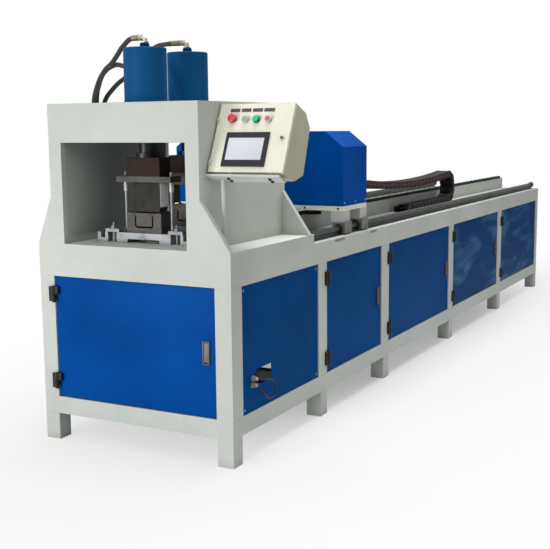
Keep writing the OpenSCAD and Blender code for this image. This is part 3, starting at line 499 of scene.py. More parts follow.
# middle of the bed's front edge
bedStart = Vector(((lowRail[0].x + lowRail[1].x) / 2, lowRail[0].y, 0))
halfBed = (lowRail[1].x - lowRail[0].x) * 500
millimetre = Matrix.Scale(0.001, 4)
bed = Matrix.Translation(bedStart) @ millimetre
lean = Matrix.Rotation(math.radians(layout["consoleLean"]), 4, "X")
console = Matrix.Translation(bed @ Vector(layout["console"])) @ lean @ millimetre
facing = Matrix.Rotation(math.radians(90), 4, "X")  # a flat shape stood up to face the front
sideways = Matrix(((0, 0, 1, 0), (1, 0, 0, 0), (0, 1, 0, 0), (0, 0, 0, 1)))  # stood up to face right
upwards, frontwards, rightwards = (0, 0, 1), (0, -1, 0), (1, 0, 0)


def doorway(x, y, turn):
    # across the door from its hinge, then into the machine
    hinge = Matrix.Translation(bed @ Vector((x, y, 0)))
    return hinge @ Matrix.Rotation(math.radians(turn), 4, "Z") @ millimetre


hingeX, width = layout["cabinetDoor"]
doors = [{"door": "cabinet_door", "latch": "cabinet_latch", "paddle": "front_door_latch",
          "width": width, "frame": doorway(hingeX, -layout["hingeOut"], 0), "name": "front",
          "metal": "chromedSteel"}]
for i, (start, end) in enumerate(layout["bays"], 1):
    doors.append({"door": f"door_{i}", "latch": f"latch_{i}", "paddle": f"bay_latch_{i}",
                  "width": end - start, "frame": doorway(halfBed + layout["hingeOut"], start, 90),
                  "name": f"bay{i}", "metal": "smokedSteel"})


# ---- making meshes ----

fixedIron = ("blackIron", "machine_frame", "black_iron")
movingIron = ("blackIron", "carriage", "black_iron")


def settle(piece, finish, body, slot, stands=()):
    # material, smooth shading with sharp edges kept, and the body that carries the piece
    piece.data.materials.clear()
    piece.data.materials.append(finishes[finish])
    piece.data.shade_smooth()
    piece.data.set_sharp_from_angle(angle=math.radians(32))
    if body:
        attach(piece, body)
    if stands:
        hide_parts(*stands)
    return piece


def smoothRoute(points, steps):
    # a Catmull-Rom curve through the points
    ends = [points[0] * 2 - points[1]] + points + [points[-1] * 2 - points[-2]]
    route = []
    for a, b, c, d in zip(ends, ends[1:], ends[2:], ends[3:]):
        for k in range(steps):
            t = k / steps
            route.append(0.5 * (b * 2 + (c - a) * t + (a * 2 - b * 5 + c * 4 - d) * t ** 2
                                + (b * 3 - a - c * 3 + d) * t ** 3))
    return route + [points[-1].copy()]


def fullTurn(sides):
    # angles at equal steps round a circle
    return [2 * math.pi * k / sides for k in range(sides)]


class Maker:
    # a mesh in the making, drawn in the millimetres of its frame
    def __init__(self, at=bed):
        self.mesh = bmesh.new()
        self.frame = at

    def skin(self, low, high):
        if len(low) == 1:
            return [self.mesh.faces.new((low[0], a, b)) for a, b in zip(high, high[1:] + high[:1])]
        if len(high) == 1:
            return [self.mesh.faces.new((b, a, high[0])) for a, b in zip(low, low[1:] + low[:1])]
        pairs = zip(low, low[1:] + low[:1], high[1:] + high[:1], high)
        return [self.mesh.faces.new(corners) for corners in pairs]

    def bevelled(self, lines, bevel, segments=2):
        bmesh.ops.bevel(self.mesh, geom=list(lines), offset=bevel, segments=segments, profile=0.5,
                        affect="EDGES")

    def block(self, low, high, bevel, segments=2):
        made = bmesh.ops.create_cube(self.mesh, size=1)["verts"]
        low, high = Vector(low), Vector(high)
        place = Matrix.Translation((low + high) / 2) @ Matrix.Diagonal((*(high - low), 1))
        bmesh.ops.transform(self.mesh, matrix=place, verts=made)
        self.bevelled({line for corner in made for line in corner.link_edges}, bevel, segments)

    def slab(self, outline, near, far, place, bevel=0.0):
        # a flat outline given thickness along the third axis of its place
        low, high = ([self.mesh.verts.new(place @ Vector((a, b, c))) for a, b in outline]
                     for c in (near, far))
        self.skin(low, high)
        caps = [self.mesh.faces.new(low), self.mesh.faces.new(high)]
        if bevel:
            self.bevelled({line for cap in caps for line in cap.edges}, bevel)

    def turned(self, profile, centre=(0, 0, 0), along=upwards, sides=32, ring=False):
        # a lathe shape: radius and height pairs round an axis through the centre
        place = Matrix.Translation(centre) @ Vector(along).to_track_quat("Z", "Y").to_matrix().to_4x4()
        rows = []
        for r, h in profile:
            angles = fullTurn(sides) if r else [0]
            rows.append([self.mesh.verts.new(place @ Vector((r * math.cos(a), r * math.sin(a), h)))
                         for a in angles])
        for low, high in zip(rows, rows[1:]):
            self.skin(low, high)
        if ring:
            self.skin(rows[-1], rows[0])
            return
        for row in (rows[0], rows[-1]):
            if len(row) > 1:
                self.mesh.faces.new(row)

    def bent(self, points, radius, sides):
        # a tube along points, with a map of turns round it and metres along it
        sheet = self.mesh.loops.layers.uv.verify()
        ahead = [(after - before).normalized() for before, after in
                 zip(points[:1] + points[:-1], points[1:] + points[-1:])]
        side = ahead[0].orthogonal().normalized()
        rows, gone = [], [0.0]
        for i, point in enumerate(points):
            side = (side - ahead[i] * side.dot(ahead[i])).normalized()
            other = ahead[i].cross(side)
            out = [side * math.cos(a) + other * math.sin(a) for a in fullTurn(sides)]
            rows.append([self.mesh.verts.new(point + way * radius) for way in out])
            if i:
                gone.append(gone[-1] + (point - points[i - 1]).length)
        for i in range(len(points) - 1):
            for k, face in enumerate(self.skin(rows[i], rows[i + 1])):
                spots = [(k, i), (k + 1, i), (k + 1, i + 1), (k, i + 1)]
                for loop, (turn, step) in zip(face.loops, spots):
                    loop[sheet].uv = (turn / sides, gone[step] / 1000)
        for row in (rows[0], rows[-1]):
            self.mesh.faces.new(row)

    def shaped(self, name):
        # closes the mesh, with its faces outwards, as an object in metres
        bmesh.ops.recalc_face_normals(self.mesh, faces=self.mesh.faces)
        self.mesh.transform(self.frame)
        data = bpy.data.meshes.new(name)
        self.mesh.to_mesh(data)
        self.mesh.free()
        made = bpy.data.objects.new(name, data)
        scene.collection.objects.link(made)
        return made

    def done(self, name, finish, body, slot, stands=()):
        return settle(self.shaped(name), finish, body, slot, stands)


def turnedPiece(name, settled, spots, profile, sides, ring=False, at=console, along=frontwards,
                stands=()):
    # one piece, of the same lathe shape at every spot
    m = Maker(at)
    for spot in spots:
        m.turned(profile, spot, along, sides, ring)
    m.done(name, *settled, stands)


# ---- hoses and the sensor's cable ----

hoses = {
    "diameter": 23,
    "sides": 20,
    "steps": 6,
    "frontCapHose": [
        (-100, 212, 1895), (-130, 222, 1889), (-166, 240, 1873), (-198, 252, 1854),
        (-227, 265, 1832), (-282, 290, 1794), (-335, 312, 1770), (-381, 332, 1737),
        (-410, 348, 1712), (-436, 362, 1680), (-458, 375, 1650), (-474, 386, 1616),
        (-486, 393, 1560), (-494, 396, 1480), (-498, 396, 1360), (-497, 395, 1220),
        (-493, 395, 1090), (-490, 395, 990)],
    "frontRodHose": [
        (-98, 321, 1716), (-102, 323, 1738), (-122, 322, 1760), (-160, 314, 1768),
        (-200, 306, 1772), (-238, 306, 1781), (-279, 320, 1787), (-336, 346, 1779),
        (-380, 364, 1762), (-416, 380, 1737), (-446, 396, 1700), (-470, 410, 1660),
        (-484, 422, 1612), (-492, 430, 1540), (-499, 433, 1430), (-499, 434, 1280),
        (-494, 432, 1130), (-490, 430, 990)],
    "rearCapHose": [
        (-100, 560, 1895), (-153, 552, 1892), (-202, 541, 1881), (-250, 530, 1846),
        (-290, 519, 1806), (-325, 510, 1769), (-360, 502, 1738), (-400, 492, 1709),
        (-434, 482, 1675), (-464, 476, 1640), (-480, 472, 1600), (-490, 470, 1540),
        (-496, 469, 1450), (-499, 468, 1340), (-497, 468, 1210), (-493, 467, 1090),
        (-490, 466, 990)],
}
cable = {
    "diameter": 8,
    "sides": 12,
    "steps": 6,
    "route": [
        (552, 186, 366), (564, 204, 362), (566, 236, 358), (564, 276, 348),
        (560, 316, 328), (556, 340, 300), (554, 344, 272), (554, 320, 254),
        (556, 286, 254), (560, 250, 268), (564, 216, 292), (562, 194, 322),
        (552, 182, 338)],
}


def addCord(name, points, c, settled, stands):
    diameter = c["diameter"]
    route = smoothRoute([Vector(p) for p in points], c["steps"])
    m = Maker()
    m.bent(route, diameter / 2, c["sides"])
    made = m.done(name, *settled, [stands])
    path = [bed @ p for p in route]
    length = sum((b - a).length for a, b in zip(path, path[1:]))
    print(name, "length", round(length, 3))


for name, stands in (("frontCapHose", "hose_front_cap"), ("frontRodHose", "hose_front_rod"),
                     ("rearCapHose", "hose_rear_cap")):
    addCord(name, hoses[name], hoses, ("hoseRubber", "machine_frame", "hose_rubber"), stands)
addCord("sensorCable", cable["route"], cable, ("cableSkin", "machine_frame", "hose_rubber"),
        "sensor_cable")


# ---- node trees for what repeats ----


def newTree(name, sockets):
    tree = bpy.data.node_groups.new(name, "GeometryNodeTree")
    for label, kind in sockets.items():
        tree.interface.new_socket(label, in_out="INPUT", socket_type="NodeSocket" + kind)
    tree.interface.new_socket("Geometry", in_out="OUTPUT", socket_type="NodeSocketGeometry")
    return Nodes(tree)


def copies(nodes, shape, points, **turned):
    # the shape's object on each point
    source = nodes.node("GeometryNodeObjectInfo", {"Object": shape}, "Geometry")
    return nodes.node("GeometryNodeInstanceOnPoints", {"Points": points, "Instance": source, **turned})


def closeTree(nodes, instances, finish):
    # real geometry with one material
    real = nodes.node("GeometryNodeRealizeInstances", {"Geometry": instances})
    painted = nodes.node("GeometryNodeSetMaterial", {"Geometry": real, "Material": finish})
    nodes.node("NodeGroupOutput", {"Geometry": painted})
    return nodes.tree


def rowOfLinks():
    # links laid end to end, each leaning a little more than the one before
    n = newTree("rowOfLinks", {
        "Link": "Object", "Finish": "Material", "Count": "Int", "Pitch": "Float",
        "First Lean": "Float", "Turn": "Float", "Start": "Vector"})
    given = n.node("NodeGroupInput", output="Link")
    tilt = given["First Lean"] + given["Turn"] * n.node("GeometryNodeInputIndex")
    step = n.node("ShaderNodeCombineXYZ", {"Y": tilt.sum("COSINE") * given["Pitch"],
                                           "Z": tilt.sum("SINE") * given["Pitch"]})
    before = n.node("GeometryNodeAccumulateField", {0: step}, "Trailing", data_type="FLOAT_VECTOR")
    place = n.node("ShaderNodeVectorMath", {0: before, 1: given["Start"]}, operation="ADD")
    line = n.node("GeometryNodeMeshLine", {"Count": given["Count"], "Offset": (0, 0, 0)})
    spots = n.node("GeometryNodeSetPosition", {"Geometry": line, "Position": place})
    links = copies(n, given, spots, Rotation=n.node("ShaderNodeCombineXYZ", {"X": tilt}))
    return closeTree(n, links, given["Finish"])


def headsOnSpots():
    # one head on each point, along the point's own direction, turned at random about it
    n = newTree("headsOnSpots", {
        "Geometry": "Geometry", "Head": "Object", "Finish": "Material", "Size": "Float", "Seed": "Int"})
    given = n.node("NodeGroupInput", output="Geometry")
    out = n.node("GeometryNodeInputNamedAttribute", {"Name": "facing"}, data_type="FLOAT_VECTOR")
    aligned = n.node("FunctionNodeAlignRotationToVector", {"Vector": out}, axis="Z")
    spin = n.node("FunctionNodeRandomValue", {2: 0.0, 3: 2 * math.pi, "Seed": given["Seed"]}, 1,
                  data_type="FLOAT")
    about = n.node("ShaderNodeCombineXYZ", {"Z": spin})
    turned = n.node("FunctionNodeRotateRotation", {"Rotation": aligned, "Rotate By": about},
                    rotation_space="LOCAL")
    heads = copies(n, given["Head"], given, Rotation=turned, Scale=given["Size"])
    return closeTree(n, heads, given["Finish"])


def holeGrid():
    # a sheet's perforations, in columns and rows about a middle, turned to the sheet
    n = newTree("holeGrid", {
        "Hole": "Object", "Finish": "Material", "Columns": "Int", "Rows": "Int", "Across": "Float",
        "Down": "Float", "Middle": "Vector", "Turn": "Vector"})
    given = n.node("NodeGroupInput", output="Hole")
    grid = n.node("GeometryNodeMeshGrid", {
        "Size X": (given["Columns"] - 1) * given["Across"],
        "Size Y": (given["Rows"] - 1) * given["Down"],
        "Vertices X": given["Columns"], "Vertices Y": given["Rows"]})
    moved = n.node("GeometryNodeTransform", {
        "Geometry": copies(n, given, grid), "Translation": given["Middle"], "Rotation": given["Turn"]})
    return closeTree(n, moved, given["Finish"])


def grown(name, tree, inputs, base=None):
    # the plain mesh that a tree makes, without its modifier
    carrier = bpy.data.objects.new(name + "Carrier", base or bpy.data.meshes.new(name + "Base"))
    scene.collection.objects.link(carrier)
    modifier = carrier.modifiers.new(name, "NODES")
    modifier.node_group = tree
    for item in tree.interface.items_tree:
        if item.in_out == "INPUT" and item.name in inputs:
            modifier[item.identifier] = inputs[item.name]
    ready = carrier.evaluated_get(bpy.context.evaluated_depsgraph_get())
    made = bpy.data.objects.new(name, bpy.data.meshes.new_from_object(ready))
    carrier.modifiers.remove(modifier)
    bpy.data.objects.remove(carrier)
    scene.collection.objects.link(made)
    return made


linkTree = rowOfLinks()
headTree = headsOnSpots()
holeTree = holeGrid()
patterns = []  # shapes that the trees copy, taken out of the scene at the end


def pattern(maker, name):
    made = maker.shaped(name)
    patterns.append(made)
    return made


def turnedPattern(name, profile, sides, ring=False):
    m = Maker(millimetre)
    m.turned(profile, sides=sides, ring=ring)
    return pattern(m, name)


# ---- drag chain ----

chain = {
    "pitch": 75,
    "height": 48,
    "width": 100,
    "x": 230,  # its left side
    "bendY": 3572,
    "upperZ": 1127.28,
    "lowerZ": 931.3,
    "upperLinks": 26,
    "lowerLinks": 11,
    "bendLinks": 4,
    "bendTurn": -45,  # degrees from one link of the bend to the next
    "leanAtBend": -4.5,  # degrees, of the upper run's last link
    "leanStep": 0.48,  # more with every link away from the bend
    "cheek": 6,
    "lid": 4,
    "cables": [(22, 0, 8), (40, -3, 7), (58, 2, 9), (78, -1, 8)],  # across, up, radius
}
bendStart = Vector((chain["x"], chain["bendY"], chain["upperZ"]))
lowerStart = Vector((chain["x"], chain["bendY"], chain["lowerZ"]))


def roundEnd(radius, steps=10):
    # half a turn round a pin, from its top to its bottom
    return [(radius * math.sin(a), radius * math.cos(a))
            for a in (math.pi * k / steps for k in range(steps + 1))]


def linkShape(c):
    # sides, lids and webs of one link, from its first pin at the origin
    m = Maker(millimetre)
    r, pitch, wide, t, lid = c["height"] / 2, c["pitch"], c["width"], c["cheek"], c["lid"]
    cut = pitch - r - 2
    first = [(-y, z) for y, z in roundEnd(r)] + [(cut, -r), (cut, r)]
    second = [(pitch - y, z) for y, z in first]
    for flip in (0, 1):
        def across(near, far):
            return (wide - far, wide - near) if flip else (near, far)
        m.slab(first, *across(0, t), sideways, 1.2)
        m.slab(second, *across(t + 0.4, 2 * t + 0.4), sideways, 1.0)
        near, far = across(0.3, 2 * t + 0.2)
        m.block((near, r + 3, -r + 1), (far, pitch - r - 3, r - 1), 1.0)
    for z in (-r, r - lid):  # lids, with a raised band
        m.block((1.5, 15, z), (wide - 1.5, pitch - 15, z + lid), 1.5)
        m.block((12, 30, z - 0.8), (wide - 12, pitch - 30, z + lid + 0.8), 1.2)
    return pattern(m, "linkShape")


def studShape(c):
    # pin heads and lid studs on both sides of a link
    m = Maker(millimetre)
    profile = [(7, -1), (7, 0.8), (6, 1.6), (3.2, 1.6), (2.6, 0.9), (0, 0.9)]
    for y in (0, c["pitch"] / 2):
        for x, way in ((0, -1), (c["width"], 1)):
            m.turned(profile, (x, y, 0), (way, 0, 0), 12)
    return pattern(m, "studShape")


def cableShape(c):
    m = Maker(millimetre)
    for x, z, r in c["cables"]:
        m.bent([Vector((x, y, z)) for y in (-5, 20, 55, c["pitch"] + 5)], r, 10)
    return pattern(m, "cableShape")


def addChain(c):
    lastLean = c["leanStep"] * (c["upperLinks"] - 1) + c["leanAtBend"]  # of the link at the carriage
    y, z = bendStart.y, bendStart.z
    for k in range(c["upperLinks"]):
        rise = math.radians(c["leanStep"] * k + c["leanAtBend"])
        y, z = y - c["pitch"] * math.cos(rise), z + c["pitch"] * math.sin(rise)
    runs = {  # links, first one's lean, lean from one to the next, start, body, node, studs
        "upper": (c["upperLinks"], -lastLean, c["leanStep"], Vector((c["x"], y, z)), "carriage",
                  "chain_upper_run", "studPlastic"),
        # on the bend and the lower run the studs take the dark nylon, not red: painted shade, as those
        # runs lie in shade
        "bend": (c["bendLinks"], c["bendTurn"] / 2, c["bendTurn"], bendStart, "bend", "chain_bend",
                 "chainNylon"),
        "lower": (c["lowerLinks"], 180, 0, lowerStart, None, "chain_lower_run", "chainNylon"),
    }
    shapes = {"Links": linkShape(c), "Studs": studShape(c), "Cables": cableShape(c)}
    for run, (count, first, turn, start, body, node, studs) in runs.items():
        for part, finish in (("Links", "chainNylon"), ("Studs", studs), ("Cables", "cableSkin")):
            made = grown(run + part, linkTree, {
                "Link": shapes[part], "Finish": finishes[finish], "Count": count,
                "Pitch": c["pitch"] / 1000, "First Lean": math.radians(first),
                "Turn": math.radians(turn), "Start": bed @ start})
            settle(made, finish, body, "chain_plastic", [node] if part == "Links" else [])
            if run == "upper":
                bed @ start
                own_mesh(made)
            if run == "lower":
                fixed = bed @ Vector((c["x"], lowerStart.y - count * c["pitch"], lowerStart.z))
                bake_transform(made)


def addAnchor(c):
    # bracket of the chain's fixed end, screwed to the deck
    m = Maker()
    y, z = lowerStart.y - c["lowerLinks"] * c["pitch"], lowerStart.z
    low, thick = z - c["height"] / 2, c["cheek"]
    ear = [(-66, -24), (-66, 10), (-60, 16)] + roundEnd(16) + [(-12, -24)]
    for x in (c["x"], c["x"] + c["width"] - thick):
        m.slab(ear, 0, thick, Matrix.Translation((x, y, z)) @ sideways, 0.8)
        m.turned([(8, -2), (8, 7.2), (6.5, 8.2), (0, 8.2)], (x, y, z), rightwards, 16)
    m.block((c["x"] + 5.5, y - 66, low), (c["x"] + c["width"] - 5.5, y - 30, low + 5), 0.8)
    m.done("chainAnchor", *fixedIron)


addChain(chain)
addAnchor(chain)
print("drag chain ready")


# ---- screws ----

screws = {
    "radius": 4.6,
    "height": 4.6,
    "recess": 2.4,
    "seed": 7,
    "firstPanel": [(91, 870)],  # start and end of the fixed panel ahead of the bays
    "panelHeights": (236, 778),
    "panelInset": 22,  # from the ends of a side panel
    "sunk": 6,  # how far the panels' faces lie behind the frame's
    "bedEnd": 5558,
    "railTop": 908.8,
    "rackTop": 1018,
    "plate": (1257, 1047.5),  # y and z of the base plate's front edge
}


def addHeads(name, head, spots, outward, settled, size=1.0):
    # spots in millimetres from the bed's start
    data = bpy.data.meshes.new(name + "Spots")
    data.from_pydata([bed @ Vector(s) for s in spots], [], [])
    out = data.attributes.new("facing", "FLOAT_VECTOR", "POINT")
    out.data.foreach_set("vector", [c for _ in spots for c in outward])
    made = grown(name, headTree, {"Head": head, "Finish": finishes[settled[0]], "Size": size,
                                  "Seed": screws["seed"]}, data)
    return settle(made, *settled)


def addScrews(s):
    r, h, k = s["radius"], s["height"], s["recess"]
    # cap screw with a recess for its key, and a low rounded screw with a small hollow
    socket = turnedPattern("socketHead", [
        (r, -1), (r, h - 0.6), (r - 0.6, h), (k + 0.3, h), (k, h - 0.4), (k * 0.9, 1.4), (0, 1.2)], 12)
    pan = turnedPattern("panHead", [
        (r, -1), (r, 0.8), (r * 0.82, 2.0), (r * 0.4, 2.6), (1.5, 2.6), (1.2, 1.2), (0, 1.0)], 12)
    movingZinc = ("zincPlate", "carriage", "ground_steel")
    blue = ("paleBlueScrew", "machine_frame", "door_blue")
    face, inset, heights = halfBed - s["sunk"], s["panelInset"], s["panelHeights"]
    left = (-1, 0, 0)
    addHeads("railScrews", socket, [
        (side * 462 + step, y, s["railTop"]) for side in (-1, 1) for step in (-17, 17)
        for y in range(880, 5450, 150)], upwards, fixedIron)
    addHeads("rackScrews", socket, [(178, 840 + 118 * n, s["rackTop"]) for n in range(39)], upwards,
             fixedIron, 0.8)
    addHeads("panelScrews", pan, [
        (face, y, z) for a, b in s["firstPanel"] for y in (a + inset, b - inset) for z in heights],
        rightwards, blue, 1.5)
    addHeads("leftPanelScrews", pan, [
        (-face, y, z) for a, b in s["firstPanel"] + layout["bays"]
        for y in (a + inset, (a + b) / 2, b - inset) for z in heights], left, blue, 1.5)
    addHeads("endPanelScrews", pan, [
        (x, s["bedEnd"] - s["sunk"], z) for x in (-440, 0, 440) for z in heights], (0, 1, 0), blue, 1.5)
    for name, x, out in (("coverScrewsRight", 489, rightwards), ("coverScrewsLeft", -570, left)):
        addHeads(name, pan, [(x, y, 1078) for y in (1277, 1419, 1561)], out, movingZinc, 1.3)
    addHeads("plateScrews", socket, [(x, *s["plate"]) for x in (-540, -300, 260, 459)], frontwards,
             movingIron, 1.2)
    addHeads("dieScrews", socket, [
        (-33 + x, 208 + y, z) for y, z in ((-30, 1096), (30, 1096), (326, 1108), (386, 1108))
        for x in (-82, 82)], upwards, fixedIron, 1.5)


addScrews(screws)
print("screws ready")


# ---- cylinders: neck collars, elbows, ferrules and ports ----

lines = {
    "x": -33,  # of both cylinders
    "neckTop": 1871,
    "elbowZ": 1895,
    "elbowRadius": 14,
    "stations": [(212, 34), (560, 64)],  # y of each elbow, length of its hose's sleeve
    "rodPort": (-33, 208, 1660),  # on the front cylinder's axis
    "rodPortTurn": 120,  # degrees, towards the back left
    "barrelRadius": 106,
    "portX": -490,  # where the hoses reach the table
    "ports": [395, 430, 466],
    "tableTop": 955,
    "glands": [(186, 366), (182, 338)],  # y and z of the sensor cable's ends
    "axes": [208, 564],  # y of each barrel
    "neckZ": 1852,
    "flangeZ": 1600,
}


def ferrule(m, centre, along, length, radius):
    # crimped sleeve with grooves and a rolled mouth
    grooves = [(radius - 3, 0), (radius, 1.5)]
    count = max(3, int(length / 6))
    for k in range(count):
        at = 2 + (length - 5) * k / count
        grooves += [(radius, at + 1), (radius - 1.3, at + 2), (radius - 1.3, at + 3), (radius, at + 4)]
    mouth = [(radius, length - 1), (radius - 1, length), (radius - 2.6, length),
             (radius - 2.6, length - 4), (0, length - 4)]
    m.turned(grooves + mouth, centre, along, 28)


def nut(m, centre, along, radius, height):
    # six-sided, with its corners turned off
    r = radius * 0.78
    m.turned([(r, 0), (radius, 0.12 * height), (radius, 0.88 * height), (r, height)], centre, along, 6)
    m.turned([(radius * 0.8, -0.6), (radius * 0.8, height + 0.6)], centre, along, 24)


def arc(centre, first, second, radius, steps=8):
    # a quarter turn from the first direction to the second
    return [centre + (first * math.cos(a) + second * math.sin(a)) * radius
            for a in (math.pi / 2 * k / steps for k in range(steps + 1))]


def addFittings(l):
    m, sleeves = Maker(), Maker()
    up, left = Vector(upwards), Vector((-1, 0, 0))
    x, top, z, bend = l["x"], l["neckTop"], l["elbowZ"], l["elbowRadius"]
    for y, sleeve in l["stations"]:
        nut(m, (x, y, top), up, 16, 9)
        elbow = arc(Vector((x - bend, y, z - bend)), -left, up, bend)
        m.bent([Vector((x, y, top + 6))] + elbow + [Vector((x - 30, y, z))], 11.6, 20)
        m.turned([(13.4, 0), (14, 1), (14, 5), (13.4, 6)], (x - 13, y, z), left, 28)
        nut(m, (x - 22, y, z), left, 15, 13)
        ferrule(sleeves, (x - 36, y, z), left, sleeve, 13.6)
    turn, centre, out = math.radians(l["rodPortTurn"]), Vector(l["rodPort"]), l["barrelRadius"]
    away = Vector((math.cos(turn), math.sin(turn), 0))
    m.turned([(13, 0), (15, 1), (15, 8), (13, 9)], centre + away * out, away, 6)
    elbow = arc(centre + away * (out + 11) + up * bend, -up, away, bend)
    tip = centre + away * (out + 25)
    m.bent([centre + away * (out + 2)] + elbow + [tip + up * 22], 11.4, 20)
    ferrule(sleeves, tip + up * 18, up, 38, 14)
    for y in l["ports"]:
        nut(m, (l["portX"], y, l["tableTop"]), up, 16, 12)
        ferrule(sleeves, (l["portX"], y, l["tableTop"] + 11), up, 28, 13.4)
    m.done("lineFittings", "paleBrass", "machine_frame", "brass_fitting", ["line_fittings"])
    sleeves.done("hoseFerrules", "dullBrass", "machine_frame", "brass_fitting")
    m = Maker()
    for y, z in l["glands"]:
        spot = (halfBed - screws["sunk"], y, z)
        m.turned([(12, 0), (13, 1), (13, 5), (11.6, 6), (11.6, 13), (10, 14), (9, 14.5), (9, 24),
                  (7.5, 28), (5.2, 31.5), (4.4, 32), (0, 32)], spot, rightwards, 24)
        m.turned([(14.5, -0.5), (15.5, 0.5), (15.5, 4), (14.5, 5)], spot, rightwards, 6)
    m.done("cableGlands", "zincPlate", "machine_frame", "brass_fitting")
    # dark collars on the barrels' necks, and flanges round their lower ends
    for name, finish, z, sides, profile in (
            ("neckCollars", "neckPaint", l["neckZ"], 40,
             [(20.3, 1), (22, 2.5), (22, 13), (21, 15), (20.3, 15)]),
            ("barrelFlanges", "cylinderPaint", l["flangeZ"], 72,
             [(99.1, 0), (103, 0), (103, 7), (101, 9), (99.1, 9)])):
        turnedPiece(name, (finish, "machine_frame", "cylinder_blue"), [(x, y, z) for y in l["axes"]],
                    profile, sides, True, bed, upwards)


addFittings(lines)
print("hydraulic fittings ready")


# ---- doors: hinges, latches, perforations ----

latch = {
    "in": 50,  # from the door's free edge
    "z": 508,
    "width": 24,
    "height": 94,
    "rim": 6,
    "depths": (6.6, 15.2),  # of the bars round the opening
}
hinge = {
    "heights": (294, 714),
    "barrel": [(9.3, 0.2), (10.4, 1.5), (10.4, 26), (9.2, 34), (6.2, 38.5), (0, 39)],
    "screw": [(3.2, 0), (3.2, 1.2), (1.4, 1.6), (0, 1.2)],
    "screws": [(x, z) for x in (11, 20) for z in (9, 26)],
}
perforations = {
    "columns": 16,
    "rows": 8,
    "across": 65,
    "down": 63,
    "radius": 6.5,
    "top": 707,  # height of the first row
    "in": 8,  # from the door's middle towards its hinge
}


def addLatch(d, l):
    at = d["frame"] @ Matrix.Translation((d["width"] - l["in"], 0, l["z"]))
    w, h, rim, (back, near) = l["width"] / 2, l["height"] / 2, l["rim"], l["depths"]
    m = Maker(at)  # four bevelled bars round the opening
    for a, b in ((-w - rim, -w - 0.6), (w + 0.6, w + rim)):
        m.block((a, back, -h - rim), (b, near, h + rim), 1.8, 3)
    for a, b in ((-h - rim, -h - 1), (h + 1, h + rim)):
        m.block((-w - 1, back, a), (w + 1, near, b), 1.8, 3)
    m.done(d["name"] + "LatchFrame", d["metal"], d["door"], "chromed")
    m = Maker(at)  # the paddle with its button, its pin and a pressed rib
    foot = [(w, 9 - h), (w - 3, 2 - h), (8, -h), (6, 6 - h)]
    outline = [(-a, b) for a, b in foot] + [(0, 8.5 - h)] + foot[::-1]
    m.slab(outline + [(w, h - 3), (w - 3, h - 1), (3 - w, h - 1), (-w, h - 3)], -13, -8.6, facing, 1.2)
    m.turned([(7.5, -9.6), (7.5, -8.4), (6.8, -8), (3, -8), (2.6, -8.8), (0, -8.8)], (0, 0, 26),
             frontwards, 20)
    m.turned([(3, -(w + 3)), (3, w + 3)], (0, 11, h - 4), rightwards, 16)
    m.block((-3.5, 8.2, -30), (3.5, 10, 8), 0.8)
    m.done(d["name"] + "LatchPaddle", d["metal"], d["latch"], "chromed", [d["paddle"]])


def addHinges(d, h):
    # turned barrels with tapered ends over each hinge, and the leaf's cover on the door
    onDoor, onFrame = Maker(d["frame"]), Maker(d["frame"])
    for z in h["heights"]:
        onDoor.turned(h["barrel"], (0, 0, z + 1), sides=28)
        onDoor.block((-0.5, -3.5, z + 0.8), (26.6, 15.6, z + 35.6), 1.0)
        for x, up in h["screws"]:
            onDoor.turned(h["screw"], (x, -3.4, z + up), frontwards, 12)
        onFrame.turned([(r, -up) for r, up in h["barrel"]], (0, 0, z - 1), sides=28)
    onDoor.done(d["name"] + "HingeBarrels", "blackIron", d["door"], "black_iron")
    onFrame.done(d["name"] + "HingeSockets", *fixedIron)


def addPerforations(d, p):
    # each hole is a pressed rim round a dark disc: painted shade that stands for the dark inside the
    # hole
    r = p["radius"]
    hollow = turnedPattern("holeHollow", [(r, -0.5), (r, 0.25), (0, 0.25)], 12)
    rim = turnedPattern("holeRim", [(r + 1.8, -0.3), (r + 0.9, 0.5), (r, 0.5), (r, -0.3)], 12, True)
    turn = (d["frame"].to_3x3().normalized() @ facing.to_3x3()).to_euler()
    z = p["top"] - p["down"] * (p["rows"] - 1) / 2
    middle = d["frame"] @ Vector((d["width"] / 2 - p["in"], 15, z))
    for name, shape, finish in (("Hollows", hollow, "darkHollow"), ("Rims", rim, "sidePaint")):
        made = grown("perforation" + name, holeTree, {
            "Hole": shape, "Finish": finishes[finish], "Columns": p["columns"], "Rows": p["rows"],
            "Across": p["across"] / 1000, "Down": p["down"] / 1000, "Middle": middle, "Turn": turn})
        settle(made, finish, d["door"], "door_blue")


for d in doors:
    addLatch(d, latch)
    addHinges(d, hinge)
addPerforations(doors[2], perforations)
print("doors ready")


# ---- console ----

stem = [(0, -14), (11, -14), (11, 9)]
lens = stem + [(12, 9), (12, 14.5), (10.5, 16), (6, 16.8), (0, 17)]
panel = {
    "estop": (77, 0, 243),
    "lampLeft": (140, 0, 240),
    "start": (194, 0, 240),
    "lampRight": (252, 0, 240),
    "key": (333, 0, 155),
    "estopHead": stem + [(13, 9.5), (15.5, 11), (19, 11.6), (20, 13), (20, 18), (19, 21), (15, 23.6),
                         (8, 24.8), (0, 25)],
    "startCap": stem + [(13.4, 9), (13.4, 15), (12, 16.2), (6, 16.6), (0, 16.6)],
    "legends": [(55, 102), (110, 157), (165, 214), (221, 272)],  # left and right ends
    "legendHeights": (277, 293),
    "display": (77, 252, 53, 155),  # left, right, low, high
    "bezel": (64, 271, 25, 179),
    "seal": (3.5, 361.5, 3.5, 312.5),
    "shelfBolts": [(x, y, -22.1) for x in (101, 301) for y in (20, 47)],
    "postFoot": (444, 90, 955),
}


